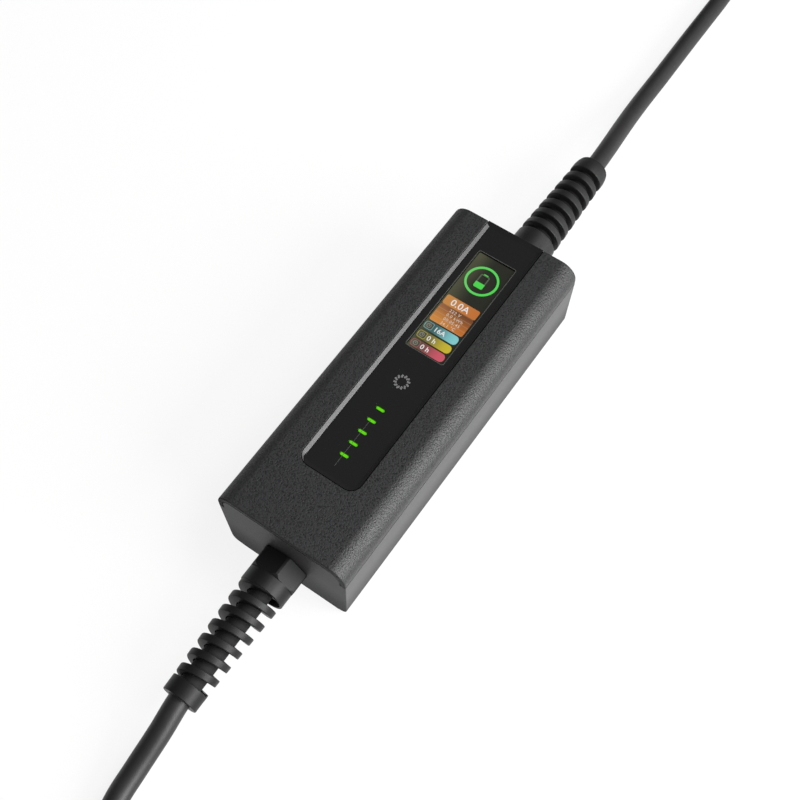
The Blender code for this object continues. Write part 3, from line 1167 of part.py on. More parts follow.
def main():
    clear_scene()
    mats = {
        "cover": material("textured_black_plastic", (0.045, 0.046, 0.048), 0.55),
        "base": material("smooth_black_plastic", (0.060, 0.061, 0.064), 0.35),
        "panel": material("black_glass_panel", (0.012, 0.012, 0.013), 0.12),
        "bezel": material("bright_bevel", (0.42, 0.42, 0.43), 0.3, 1.0),
        "screen": material("display_face", (0.050, 0.050, 0.036), 0.2),
        "green": material("display_green", (0.13, 0.62, 0.19), 0.4, glow=1.0),
        "orange": material("display_orange", (0.78, 0.32, 0.06), 0.4, glow=1.0),
        "amber": material("display_amber", (0.50, 0.20, 0.05), 0.4, glow=1.0),
        "blue": material("display_blue", (0.35, 0.66, 0.72), 0.4, glow=1.0),
        "yellow": material("display_yellow", (0.66, 0.55, 0.03), 0.4, glow=1.0),
        "red": material("display_red", (0.62, 0.06, 0.11), 0.4, glow=1.0),
        "mark": material("touch_mark_print", (0.30, 0.30, 0.31), 0.5),
        "led": material("green_light_pipe", (0.25, 0.85, 0.02), 0.3, glow=1.5),
        "board": material("circuit_board", (0.02, 0.12, 0.05), 0.5),
        "relay": material("relay_case", (0.02, 0.05, 0.16), 0.4),
        "case": material("supply_case", (0.03, 0.03, 0.03), 0.5),
        "sleeve": material("capacitor_sleeve", (0.02, 0.03, 0.08), 0.35),
        "sensor": material("sensor_case", (0.02, 0.02, 0.02), 0.5),
        "terminal": material("terminal_block", (0.05, 0.22, 0.07), 0.5),
        "copper": material("touch_spring", (0.72, 0.38, 0.22), 0.35, 1.0),
        "steel": material("screw_steel", (0.55, 0.55, 0.56), 0.35, 1.0),
        "nickel": material("nickel_plate", (0.68, 0.66, 0.62), 0.28, 1.0),
        "nylon": material("black_nylon", (0.030, 0.030, 0.032), 0.45),
        "rubber": material("black_rubber", (0.022, 0.022, 0.023), 0.7),
        "boot": material("moulded_boot", (0.040, 0.040, 0.042), 0.5),
        "jacket": material("cable_jacket", (0.050, 0.050, 0.052), 0.5),
        "strap": material("strap_webbing", (0.02, 0.02, 0.02), 0.9),
        "grip": material("grip_plastic", (0.035, 0.035, 0.037), 0.5),
        "contact": material("contact_block", (0.10, 0.10, 0.11), 0.5),
        "brown": material("brown_wire", (0.16, 0.06, 0.02), 0.4),
        "blue_wire": material("blue_wire", (0.02, 0.10, 0.45), 0.4),
        "earth": material("earth_wire", (0.30, 0.45, 0.04), 0.4),
    }
    make_base(mats["base"])
    make_cover(mats["cover"])
    make_panel(mats["panel"])
    make_bezel(mats["bezel"])
    make_touch_mark(mats["mark"])
    make_display(mats)
    make_charge_bars(mats["led"])
    make_boards(mats)
    make_wires({"brown": mats["brown"], "blue": mats["blue_wire"], "earth": mats["earth"]})
    make_case_screws(mats["steel"])
    make_spiral_gland(mats)
    make_ribbed_boot(mats)
    make_cables(mats)
    make_hank(mats)
    make_connector(mats)
    make_plug(mats)


main()
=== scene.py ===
import math

import bmesh
import bpy
from mathutils import Matrix, Vector


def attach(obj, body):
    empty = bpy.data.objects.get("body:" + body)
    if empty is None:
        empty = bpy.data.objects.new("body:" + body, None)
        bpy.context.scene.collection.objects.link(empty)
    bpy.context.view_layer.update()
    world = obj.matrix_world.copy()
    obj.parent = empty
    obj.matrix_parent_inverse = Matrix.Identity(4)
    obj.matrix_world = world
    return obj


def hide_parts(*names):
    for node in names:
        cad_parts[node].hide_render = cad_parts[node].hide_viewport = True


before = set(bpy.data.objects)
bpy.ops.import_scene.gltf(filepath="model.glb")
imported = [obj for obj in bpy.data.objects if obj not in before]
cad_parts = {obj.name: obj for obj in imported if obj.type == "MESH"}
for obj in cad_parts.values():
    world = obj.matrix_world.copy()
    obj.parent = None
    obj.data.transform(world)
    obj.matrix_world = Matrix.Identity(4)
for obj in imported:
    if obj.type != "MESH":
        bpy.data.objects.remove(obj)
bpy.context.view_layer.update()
scene = bpy.context.scene


# Camera. It looks down on the control box from its near right side, with a slight roll, and stands
# about 0.7 m away. The script counts in millimetres, and MM is one of them in metres.
MM = 0.001
azimuth, elevation, roll = math.radians(36.88), math.radians(62.29), math.radians(-2.08)
target, distance = Vector((-3.94, 0.73, 25.0)) * MM, 0.69059
ahead = Vector((-math.sin(azimuth) * math.cos(elevation), math.cos(azimuth) * math.cos(elevation),
                -math.sin(elevation)))
level = Vector((math.cos(azimuth), math.sin(azimuth), 0))
rise = level.cross(ahead)
across = level * math.cos(roll) + rise * math.sin(roll)
upward = rise * math.cos(roll) - level * math.sin(roll)
camera = bpy.data.objects.new("camera", bpy.data.cameras.new("camera"))
scene.collection.objects.link(camera)
turn = Matrix((across, upward, -ahead)).transposed().to_4x4()
camera.matrix_world = Matrix.Translation(target - ahead * distance) @ turn
camera.data.lens = 56.783
camera.data.sensor_width = 36.0
camera.data.clip_start = 0.01
scene.camera = camera


# Cables. Two round flexible leads with extruded black jackets, satin with a fine matt grain. The
# output cable leaves the spiral and goes round its hank to the connector; the mains lead leaves the
# ribbed boot and turns back once to its plug.
class Value:
    """One value in a finish's nodes. An expression on values adds Math nodes."""

    def __init__(self, finish, socket):
        self.finish, self.socket = finish, socket

    def math(self, operation, *others):
        """What a Math node makes of this value and the others."""
        return self.finish.add("Math", {"operation": operation}, dict(enumerate((self, *others))))

    def __add__(self, other):
        return self.math("ADD", other)

    def __sub__(self, other):
        return self.math("SUBTRACT", other)

    def __rsub__(self, other):
        return self.finish.add("Math", {"operation": "SUBTRACT"}, {0: other, 1: self})

    def __mul__(self, other):
        return self.math("MULTIPLY", other)

    __radd__, __rmul__ = __add__, __mul__


class Finish:
    """A procedural finish on one shader. Its patterns are measured in millimetres on the object."""

    def __init__(self, name, **plain):
        self.material = bpy.data.materials.new(name)
        self.material.use_nodes = True
        self.tree = self.material.node_tree
        self.shader = self.tree.nodes["Principled BSDF"]
        self.set(**plain)

    def put(self, socket, value):
        """Links a value to a socket, or writes a plain number or colour on it."""
        if isinstance(value, Value):
            self.tree.links.new(value.socket, socket)
        elif socket.type == "RGBA":
            socket.default_value = (*value, 1.0)
        else:
            socket.default_value = value

    def add(self, kind, settings, sockets, output=0):
        """Adds a node, sets its settings and then its sockets, and gives one of its outputs."""
        node = self.tree.nodes.new("ShaderNode" + kind)
        for name, value in settings.items():
            setattr(node, name, value)
        for name, value in sockets.items():
            self.put(node.inputs[name], value)
        return Value(self, node.outputs[output])

    def set(self, **values):
        """Puts values on the shader's own sockets."""
        for name, value in values.items():
            self.put(self.shader.inputs[name.replace("_", " ")], value)
        return self.material

    def place(self, stretch=(1.0, 1.0, 1.0)):
        """The place on the object in millimetres."""
        spot = self.add("TexCoord", {}, {}, "Object")
        return self.add("Mapping", {}, {"Vector": spot, "Scale": [s / MM for s in stretch]})

    def axis(self, letter):
        return self.add("SeparateXYZ", {}, {0: self.place()}, letter)

    def noise(self, size, detail=3.0, stretch=(1.0, 1.0, 1.0)):
        return self.add("TexNoise", {}, {"Vector": self.place(stretch), "Scale": 1.0 / size,
                                         "Detail": detail})

    def cells(self, size, feature="F1"):
        return self.add("TexVoronoi", {"feature": feature},
                        {"Vector": self.place(), "Scale": 1.0 / size})

    def ramp(self, value, low, high):
        """0 below low, 1 above high and a soft step between."""
        return self.add("MapRange", {"interpolation_type": "SMOOTHSTEP"},
                        {"Value": value, "From Min": low, "From Max": high})

    def waves(self, value, pitch):
        """Waves between 0 and 1 along a value, one for each pitch."""
        return (value * (2 * math.pi / pitch)).math("SINE") * 0.5 + 0.5

    def blend(self, share, one, two):
        """The first colour where the share is 0 and the second where it is 1."""
        return self.add("Mix", {"data_type": "RGBA"}, {0: share, 6: one, 7: two}, 2)

    def relief(self, height, depth, strength=1.0):
        """Relief of that depth in millimetres where the height goes from 0 to 1."""
        return self.add("Bump", {}, {"Strength": strength, "Distance": depth * MM, "Height": height})


def moulded(name, colour, rough, grain=0.3, depth=0.01, change=0.25, relief=None, **plain):
    """A moulded surface: a colour that changes a little from place to place, and a fine grain."""
    finish = Finish(name, **plain)
    fine, broad = finish.noise(grain), finish.noise(grain * 30, 2.0)
    height = fine if relief is None else fine * 0.2 + relief(finish) * 0.8
    finish.set(Base_Color=finish.blend(broad, [c * (1 - change) for c in colour],
                                       [c * (1 + change) for c in colour]),
               Roughness=fine * 0.14 + (rough - 0.07), Normal=finish.relief(height, depth))
    return finish.material


# The two diameters, the height of both ports, and where the spiral's collar and sleeve end.
CABLE, LEAD, PORT = 12.2, 11.3, 20.0
COLLAR_END, SLEEVE_END, SAG = -128.9, -195.22, 2.6
# Inside the spiral the jacket is duller, and painted dark: painted shade between the rib's turns.
jacket = Finish("cable_jacket", Specular_IOR_Level=0.36)
fine, along = jacket.noise(0.35), jacket.axis("Y")
painted_shade_in_spiral = jacket.ramp(along, SLEEVE_END + 4, SLEEVE_END + 9) * (
    1 - jacket.ramp(along, COLLAR_END, COLLAR_END + 3))
plain = jacket.blend(jacket.noise(10.5, 2.0), (0.0105, 0.0105, 0.011), (0.0175, 0.0175, 0.018))
JACKET = jacket.set(Base_Color=jacket.blend(painted_shade_in_spiral, plain, (0.003, 0.003, 0.003)),
                    Roughness=fine * 0.14 + painted_shade_in_spiral * 0.35 + 0.39,
                    Normal=jacket.relief(fine, 0.02))
# The hank: its middle line, the two ends of its straight runs, the columns and layers its turns lie
# in, the order in which they fill these, and how a turn moves over from the last one to its own.
HANK_X, FRONT, BACK = -20.0, -357.0, -597.0
COLUMNS, LAYERS = (54.9, 42.7), (7.6, 19.8, 32.0)
CELLS = [(0, 0), (0, 1), (0, 2), (1, 2), (1, 1), (1, 0)]
RUN_STEP, BEND_STEPS, CROSSING, STAGGER = 15.0, 18, 60.0, 45.0
TAIL_Y, TAIL_Z, TAIL_FLAT = -525.3, 16.5, 0.2
FLOOR_GAP = 0.02


def sag(y):
    """How far the spiral's centre line has drooped at a place along it, in millimetres."""
    return SAG * max(0.0, (COLLAR_END - y) / (COLLAR_END - SLEEVE_END)) ** 2


def eased(share):
    """A share kept between 0 and 1, with a soft start and a soft end."""
    share = min(1.0, max(0.0, share))
    return share * share * (3 - 2 * share)


def cell(index):
    """How far out and how high one turn of the hank lies."""
    column, layer = CELLS[index]
    return Vector((COLUMNS[column], LAYERS[layer]))


def hank():
    """The turns of the hank. Each starts on the right run, where it moves over to its own place
    beside or on the last one."""
    points = []
    steps = round((FRONT - BACK) / RUN_STEP)
    angles = [math.pi * i / BEND_STEPS for i in range(1, BEND_STEPS)]
    for number in range(len(CELLS)):
        own = cell(number)
        last = cell(number - 1) if number else own
        start = STAGGER * (len(CELLS) - 1 - number)
        for i in range(steps + 1):
            spot = last.lerp(own, eased((RUN_STEP * i - start) / CROSSING))
            points.append((HANK_X + spot.x, FRONT - RUN_STEP * i, spot.y))
        points += [(HANK_X + own.x * math.cos(a), BACK - own.x * math.sin(a), own.y) for a in angles]
        if number == len(CELLS) - 1:
            break
        points += [(HANK_X - own.x, BACK + 2 * RUN_STEP * i, own.y) for i in range(steps // 2 + 1)]
        points += [(HANK_X - own.x * math.cos(a), FRONT + own.x * math.sin(a), own.y) for a in angles]
    return points


def between(a, b, c, d, share):
    """A point on the smooth curve from b to c, with a and d as its neighbours."""
    t0 = 0.0
    t1 = t0 + math.sqrt((b - a).length)
    t2 = t1 + math.sqrt((c - b).length)
    t3 = t2 + math.sqrt((d - c).length)
    t = t1 + (t2 - t1) * share
    first = a * ((t1 - t) / (t1 - t0)) + b * ((t - t0) / (t1 - t0))
    second = b * ((t2 - t) / (t2 - t1)) + c * ((t - t1) / (t2 - t1))
    third = c * ((t3 - t) / (t3 - t2)) + d * ((t - t2) / (t3 - t2))
    low = first * ((t2 - t) / (t2 - t0)) + second * ((t - t0) / (t2 - t0))
    high = second * ((t3 - t) / (t3 - t1)) + third * ((t - t1) / (t3 - t1))
    return low * ((t2 - t) / (t2 - t1)) + high * ((t - t1) / (t2 - t1))


def smooth_route(points, steps=6):
    """Points in metres along the smooth curve through a route given in millimetres."""
    route = [Vector(p) * MM for p in points]
    ends = [2 * route[0] - route[1], *route, 2 * route[-1] - route[-2]]
    fine = []
    for a, b, c, d in zip(ends, ends[1:], ends[2:], ends[3:]):
        fine += [between(a, b, c, d, i / steps) for i in range(steps)]
    return fine + [route[-1]]


def cable(name, points, diameter, *nodes):
    """A jacketed cable along its points, and its length in metres."""
    curve = bpy.data.curves.new(name, "CURVE")
    curve.dimensions = "3D"
    curve.bevel_depth = diameter / 2 * MM
    curve.bevel_resolution = 8
    curve.use_fill_caps = True
    spline = curve.splines.new("POLY")
    spline.points.add(len(points) - 1)
    points = [Vector((p.x, p.y, max(p.z, (diameter / 2 + FLOOR_GAP) * MM))) for p in points]
    for point, place in zip(spline.points, points):
        point.co = (*place, 1.0)
    spline.use_smooth = True
    curve.materials.append(JACKET)
    piece = bpy.data.objects.new(name, curve)
    scene.collection.objects.link(piece)
    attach(piece, "root")
    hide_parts(*nodes)
    return piece, sum((b - a).length for a, b in zip(points, points[1:]))


# Through the gland and the drooping spiral, down to the floor and over to the hank.
inside = [(0, -94.9, PORT), (0, -120.4, PORT), (0, COLLAR_END, PORT)]
for share in (0.35, 0.7, 1.0):
    y = COLLAR_END + (SLEEVE_END - COLLAR_END) * share
    inside.append((0, y, PORT - sag(y)))
outward = smooth_route(inside + [
    (0.9, -212, 13.2), (1.3, -232, 8.3), (2.7, -250, 6.3), (8.5, -269, 6.1),
    (18.5, -289, 6.3), (27.5, -306, 6.8), (32.5, -324, 7.2), (34.9, -345, 7.6)])
# From the last turn the cable swings over to the connector in two equal arcs, and rises to it.
column, run = HANK_X - COLUMNS[1], TAIL_Y - BACK
bend = (COLUMNS[1] ** 2 + run ** 2) / (4 * COLUMNS[1])
arc = [math.asin(run / 2 / bend) * i / 5 for i in range(6)]
swing = [(column + bend * (1 - math.cos(a)), BACK + bend * math.sin(a)) for a in arc]
swing += [(HANK_X - bend * (1 - math.cos(a)), TAIL_Y - bend * math.sin(a)) for a in arc[-2::-1]]
tail = []
for x, y in swing:
    share = eased(((y - BACK) / run - TAIL_FLAT) / (1 - TAIL_FLAT))
    tail.append((x, y, LAYERS[0] + (TAIL_Z - LAYERS[0]) * share))
output_cable, cable_length = cable(
    "output_cable_run", outward + [Vector(p) * MM for p in hank()] + smooth_route(tail), CABLE,
    "output_cable", "output_cable_hank", "output_cable_tail")
# Through the boot, down to the floor, along it, and back in a wide turn up to the plug.
lead_points = smooth_route([
    (0, 95.9, PORT), (0, 135.4, PORT), (0, 188.8, PORT), (0, 200.1, PORT),
    (-1.6, 222, 17.0), (-3.7, 240, 12.8), (-5.5, 258, 9.0), (-6.5, 276, 6.6), (-6.7, 297, 5.7),
    (-7.0, 336, 5.7), (-7.0, 375, 5.7), (-7.0, 391, 5.7), (-4.3, 406.5, 5.7), (3.6, 420.1, 5.7),
    (14.2, 429.3, 5.7), (24.8, 438.5, 5.7), (32.7, 452.1, 5.7), (35.4, 467.6, 5.7), (35.4, 482, 5.7),
    (35.4, 496, 5.7), (29.3, 518.6, 5.7), (12.8, 535.1, 5.7), (-9.8, 541.0, 5.7), (-32.4, 535.1, 6.0),
    (-48.9, 518.6, 7.5), (-55, 496, 12.5), (-55, 485, 16.5),
    (-55, 475.3, 19.1), (-55, 469.65, 19.1), (-55, 464.3, 19.1)])
mains_lead, lead_length = cable("mains_lead_run", lead_points, LEAD, "mains_lead")


# Base tub. One injection moulding of satin black plastic: drafted side walls with a rounded foot,
# and two end walls that rise into the cover's arch. Four screws from below hold the cover on it.
def choose(piece):
    """Makes a piece the only one that operators act on."""
    if bpy.context.mode != "OBJECT":
        bpy.ops.object.mode_set(mode="OBJECT")
    bpy.ops.object.select_all(action="DESELECT")
    bpy.context.view_layer.objects.active = piece
    piece.select_set(True)


def begin(piece, name, finish, slot, *nodes):
    """Opens a new piece for shaping, with its place in its mesh."""
    piece.name = piece.data.name = name
    choose(piece)
    bpy.ops.object.transform_apply(location=True, rotation=True, scale=True)
    piece.data.materials.clear()
    piece.data.materials.append(finish)
    if nodes:
        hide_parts(*nodes)
    bpy.ops.object.mode_set(mode="EDIT")
    bpy.ops.mesh.select_all(action="SELECT")
    return piece


def moulding(node, finish, slot):
    """Starts a piece on a copy of a node's shape, with its triangles joined into faces."""
    piece = bpy.data.objects.new(node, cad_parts[node].data.copy())
    scene.collection.objects.link(piece)
    begin(piece, node + "_moulding", finish, slot, node)
    bpy.ops.mesh.remove_doubles(threshold=1e-6)
    bpy.ops.mesh.dissolve_limited(angle_limit=math.radians(1.0))
    return piece


def pick(piece, kind, test):
    """Selects the faces, or the sharp edges, whose middle in millimetres passes a test. A face's
    test is also given its normal."""
    bpy.ops.mesh.select_mode(type="FACE" if kind == "faces" else "EDGE")
    bpy.ops.mesh.select_all(action="DESELECT")
    shape = bmesh.from_edit_mesh(piece.data)
    if kind == "faces":
        for face in shape.faces:
            face.select_set(test(face.calc_center_median() / MM, face.normal))
    else:
        for edge in shape.edges:
            if len(edge.link_faces) == 2 and edge.calc_face_angle() > math.radians(28):
                edge.select_set(test((edge.verts[0].co + edge.verts[1].co) / 2 / MM))
    bmesh.update_edit_mesh(piece.data)


def soften(piece, width, test=lambda at: True, segments=2):
    """Rounds the sharp edges that pass the test."""
    pick(piece, "edges", test)
    bpy.ops.mesh.bevel(offset=width * MM, segments=segments, affect="EDGES", clamp_overlap=True)


def settle(piece, angle=32.0):
    """Ends the shaping of a piece: its faces turn smooth between their edges, and it rides along."""
    choose(piece)
    bpy.ops.object.shade_smooth_by_angle(angle=math.radians(angle))
    bpy.ops.object.modifier_add(type="WEIGHTED_NORMAL")
    piece.modifiers[-1].keep_sharp = True
    bpy.ops.object.modifier_apply(modifier=piece.modifiers[-1].name)
    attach(piece, "root")
    return piece


END, SEAM = 108.4, 43.4
shell = Finish("base_plastic", Specular_IOR_Level=0.4)
fine, broad = shell.noise(0.22), shell.noise(7.0, 2.0)
matt = shell.ramp(shell.axis("Y").math("ABSOLUTE"), END - 0.7, END - 0.2)
foot = 1 - shell.ramp(shell.axis("Z"), 2.0, 30.0)
BASE = shell.set(Base_Color=shell.blend(broad, (0.013, 0.013, 0.0135), (0.020, 0.020, 0.021)),
                 Roughness=fine * 0.14 + matt * 0.22 + foot * 0.18 + 0.27,
                 Normal=shell.relief(fine * (matt * 3.0 + 1.0), 0.008))
base = moulding("base_tub", BASE, "base")
soften(base, 0.5, lambda at: abs(at.y) > END - 0.05 and abs(at.x) > 13)  # clear of the ports
soften(base, 0.3, lambda at: at.z < 0.1 and abs(at.y) < END - 1)
settle(base)


# Cover. The arched top shell, moulded in black plastic with a fine leather-like grain. It closes on
# the tub along a seam on the long sides, and its round-nosed pocket takes the front panel.
leather = Finish("cover_plastic", Specular_IOR_Level=0.43)
pores, fine = leather.cells(0.92, "SMOOTH_F1"), leather.noise(0.7, 5.0)
grain = leather.ramp(pores * 0.5 + fine * 0.7, 0.3, 0.7)
# The left rounding, turned from the light, is painted darker than the top and right: painted shade. It
# is also made rougher.
lit_side_share = leather.ramp(leather.axis("X"), -40.5, -30.0)
rounding = leather.ramp(leather.axis("X"), 30.0, 36.0)
# The cover's end faces are painted near black and made duller: painted shade along the lip over the end
# walls.
ends = leather.ramp(leather.axis("Y").math("ABSOLUTE"), END - 0.9, END - 0.3)
pale = (grain * 0.8 + 0.1) * (lit_side_share * 0.85 + 0.15) * (1 - ends)
COVER = leather.set(Base_Color=leather.blend(pale, (0.0055, 0.0057, 0.0061), (0.0245, 0.025, 0.026)),
                    Roughness=grain * 0.18 + ends * 0.3 + 0.505 - lit_side_share * 0.21,
                    Normal=leather.relief(grain * (rounding * 0.8 + 1.0), 0.097))
cover = moulding("cover", COVER, "cover")
LIP, LIP_HALF, SIDE = 56.9, 18.4, 39.9  # height and half width of the pocket's lip, the long sides
soften(cover, 0.45, lambda at: at.z > LIP and abs(at.x) < LIP_HALF and abs(at.y) < END - 0.3)
soften(cover, 0.7, lambda at: abs(at.y) > END - 0.05 and at.z > SEAM)
soften(cover, 0.3, lambda at: at.z < SEAM and abs(at.x) > SIDE)
settle(cover)


# Front panel and bezel. A gloss black panel lies a millimetre deep in the pocket, with sloping near
# and right edges. A satin bevel strip, bright and finely grained, runs down its left side.
panel_finish = Finish("panel_gloss", Specular_IOR_Level=0.5)
smear = panel_finish.noise(26.0, 4.0)
specks = panel_finish.ramp(panel_finish.noise(0.5, 2.0), 0.68, 0.74)
# Along its right edge the panel is painted near black and made duller: painted shade under the pocket's
# wall.
painted_edge_shade = panel_finish.ramp(panel_finish.axis("X"), 15.9, 16.4)
face = panel_finish.blend(specks, (0.006, 0.006, 0.0065), (0.012, 0.012, 0.013))
PANEL = panel_finish.set(
    Base_Color=panel_finish.blend(painted_edge_shade, face, (0.0005, 0.0005, 0.0005)),
    Roughness=smear * 0.08 + painted_edge_shade * 0.3 + 0.06, Normal=panel_finish.relief(smear, 0.03, 0.4))
panel = moulding("front_panel", PANEL, "panel")
AXIS, PANEL_FACE = 0.5, 56.0
soften(panel, 0.12, lambda at: -0.3 < at.z - PANEL_FACE < 0.1 and abs(at.x - AXIS) < 12.2)
settle(panel, 12.0)

bezel_finish = Finish("bezel_grain", Metallic=0.75)
brush = bezel_finish.noise(0.16, 4.0)
BEZEL = bezel_finish.set(
    Base_Color=bezel_finish.blend(brush, (0.075, 0.075, 0.075), (0.13, 0.13, 0.13)),
    Roughness=brush * 0.2 + 0.34, Normal=bezel_finish.relief(brush, 0.02))
bezel = moulding("panel_bezel", BEZEL, "bezel")
soften(bezel, 0.08)
settle(bezel, 20.0)


# Panel print. A thin pale outline round the display and a hairline beside the charge bars are
# printed on the panel in grey, and twelve slanted dashes in a ring mark the touch key.
PRINT = moulded("panel_print", (0.055, 0.058, 0.052), 0.4, grain=0.12, depth=0.004, change=0.1)
MARK = moulded("mark_ink", (0.135, 0.135, 0.138), 0.42, grain=0.12, depth=0.004, change=0.1)
SCREEN_LOW, SCREEN_HIGH, SCREEN_HALF = 17.4, 89.2, 12.25


def plate(name, low, high, thick, finish, slot, *nodes):
    """Starts a flat plate from its low corner, its high corner in plan and its thickness."""
    middle = [(a + b) / 2 * MM for a, b in zip(low, high)]
    bpy.ops.mesh.primitive_plane_add(size=1, location=(*middle, low[2] * MM))
    piece = bpy.context.object
    piece.scale = ((high[0] - low[0]) * MM, (high[1] - low[1]) * MM, 1)
    begin(piece, name, finish, slot, *nodes)
    bpy.ops.mesh.extrude_region_move(TRANSFORM_OT_translate={"value": (0, 0, thick * MM)})
    bpy.ops.mesh.select_all(action="SELECT")
    bpy.ops.mesh.normals_make_consistent(inside=False)
    return piece


def round_corners(piece, radius, segments=5):
    """Rounds the upright edges at the corners of a plate."""
    shape = bmesh.from_edit_mesh(piece.data)
    bpy.ops.mesh.select_mode(type="EDGE")
    bpy.ops.mesh.select_all(action="DESELECT")
    for edge in shape.edges:
        a, b = edge.verts
        edge.select_set(abs(a.co.z - b.co.z) > 1e-6)
    bmesh.update_edit_mesh(piece.data)
    bpy.ops.mesh.bevel(offset=radius * MM, segments=segments, affect="EDGES", clamp_overlap=True)


outline = plate("display_outline", (AXIS - SCREEN_HALF, SCREEN_LOW - 0.45, PANEL_FACE),
                (AXIS + SCREEN_HALF, SCREEN_HIGH + 0.45), 0.04, PRINT, "mark_print")
round_corners(outline, 1.4)
pick(outline, "faces", lambda at, normal: abs(normal.z) > 0.9)
bpy.ops.mesh.inset(thickness=0.4 * MM)
bpy.ops.mesh.bridge_edge_loops()
settle(outline)
hairline = plate("panel_hairline", (-0.12, -61.75, PANEL_FACE), (0.12, -30.3), 0.03, PRINT,
                 "mark_print")
soften(hairline, 0.01)
settle(hairline)

# The touch key's middle, and its dashes: how many, from and to what radius, half their width, slant.
TOUCH_Y, DASHES, DASH_FROM, DASH_TO, DASH_HALF, SLANT = -3.1, 12, 2.6, 4.5, 0.55, math.radians(28)
dash = plate("touch_mark_dashes", (AXIS + DASH_FROM, TOUCH_Y - DASH_HALF, PANEL_FACE + 0.01),
             (AXIS + DASH_TO, TOUCH_Y + DASH_HALF), 0.2, MARK, "mark_print", "touch_mark")
round_corners(dash, 0.25, 3)
soften(dash, 0.05)
bpy.ops.mesh.select_all(action="SELECT")
key = Vector((AXIS, TOUCH_Y, PANEL_FACE)) * MM
bpy.ops.transform.rotate(value=SLANT, orient_axis="Z",
                         center_override=key + Vector((3.6 * MM, 0, 0)))
for _ in range(DASHES - 1):  # each copy is turned on from the last one
    bpy.ops.mesh.duplicate()
    bpy.ops.transform.rotate(value=2 * math.pi / DASHES, orient_axis="Z", center_override=key)
settle(dash)


# Display. A colour screen under the panel: a green power ring with a battery sign, an orange field
# with the live current, an amber block of readings, and blue, yellow and red setting bars.
def paint(finish, *nodes):
    """Gives CAD nodes their finish."""
    for name in nodes:
        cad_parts[name].material_slots[0].material = finish


DOT = 0.16  # the pitch of the screen's dots


def lit(name, left, right, low=-10.0, high=11.0, edge=False):
    """A lit colour that changes from one side of a field to the other, with the screen's dots. An
    edge gives a setting bar its bright left end."""
    finish = Finish(name, Specular_IOR_Level=0.3, Emission_Strength=1.0, Roughness=0.3)
    dots, across = finish.cells(DOT), finish.axis("X")
    share = finish.ramp(across, low, high)
    if edge:
        share = share + 1 - finish.ramp(across, -9.9, -9.0)
    colour = finish.blend(share, left, right)
    dim = finish.blend(dots * 0.25, colour, (0.0, 0.0, 0.0))
    finish.set(Base_Color=finish.blend(dots, (0.01, 0.01, 0.01), (0.02, 0.02, 0.02)),
               Emission_Color=dim, Normal=finish.relief(dots, 0.004))
    return finish.material


# The screen's ground glows brighter towards its left side: painted glare.
ground = Finish("screen_ground", Specular_IOR_Level=0.5, Emission_Strength=1.0)
haze = ground.noise(9.0, 2.0)
painted_glare = 1 - ground.ramp(ground.axis("X"), -13.0, 1.5)
paint(ground.set(Base_Color=(0.008, 0.008, 0.006), Roughness=haze * 0.1 + 0.12,
                 Emission_Color=ground.blend(painted_glare * (haze * 0.5 + 0.75), (0.008, 0.009, 0.005),
                                             (0.064, 0.066, 0.036))), "display_module")
paint(lit("ring_green", (0.125, 0.68, 0.125), (0.07, 0.73, 0.08)), "display_gauge_ring")
# The battery sign is green up to its charge and at its cap.
battery = Finish("battery_green", Specular_IOR_Level=0.3, Emission_Strength=1.0, Roughness=0.3)
along = battery.axis("Y")
full = 1 - battery.ramp(along, 71.6, 71.9) + battery.ramp(along, 77.1, 77.4)
paint(battery.set(Base_Color=(0.01, 0.01, 0.01), Normal=battery.relief(battery.cells(DOT), 0.004),
                  Emission_Color=battery.blend(full, (0.075, 0.105, 0.065), (0.055, 0.63, 0.06))),
      "display_battery")
paint(lit("header_orange", (0.60, 0.25, 0.05), (0.56, 0.16, 0.017)), "display_header")
block = Finish("readings_amber", Specular_IOR_Level=0.3, Emission_Strength=1.0, Roughness=0.3)
across, along = block.axis("X"), block.axis("Y")
top = block.blend(block.ramp(across, -9.0, 4.0), (0.25, 0.09, 0.034), (0.125, 0.036, 0.007))
foot = block.blend(block.ramp(across, -9.0, 11.0), (0.60, 0.235, 0.036), (0.50, 0.142, 0.012))
ROW = 3.0  # from one reading to the next, with a fine pale rule between them
rules = block.ramp(block.waves(along - 0.75, ROW), 0.93, 1.0)
amber = block.blend(block.ramp(along, 37.0, 51.0), foot, top)
paint(block.set(Base_Color=(0.01, 0.01, 0.01), Normal=block.relief(block.cells(DOT), 0.004),
                Emission_Color=block.blend(rules * 0.25, amber, (0.55, 0.42, 0.28))),
      "display_readout")
for node, name, left, right in (
        ("display_current_bar", "bar_blue", (0.03, 0.10, 0.10), (0.22, 0.62, 0.65)),
        ("display_delay_bar", "bar_yellow", (0.14, 0.12, 0.03), (0.60, 0.48, 0.012)),
        ("display_timer_bar", "bar_red", (0.12, 0.05, 0.03), (0.64, 0.085, 0.13))):
    paint(lit(name, left, right, -5.5, 9.5, True), node)

WHITE = lit("lettering_white", (0.80, 0.80, 0.78), (0.86, 0.86, 0.86))
PALE = lit("lettering_pale", (0.62, 0.56, 0.47), (0.68, 0.62, 0.53))
DARK = lit("sign_ground", (0.10, 0.105, 0.075), (0.05, 0.055, 0.04), -10.0, -5.0)
FAINT = lit("sign_lines", (0.30, 0.29, 0.22), (0.26, 0.25, 0.18), -10.0, -5.0)
# The top of the lit fields, the part of the letters' size that a capital is high, and the signs'
# left side, right side, half height and middle.
TILE_TOP, CAP_SHARE = 55.72, 0.71
SIGN_LEFT, SIGN_RIGHT, SIGN_HALF, DIAL_X = -9.85, -4.75, 2.3, -7.3


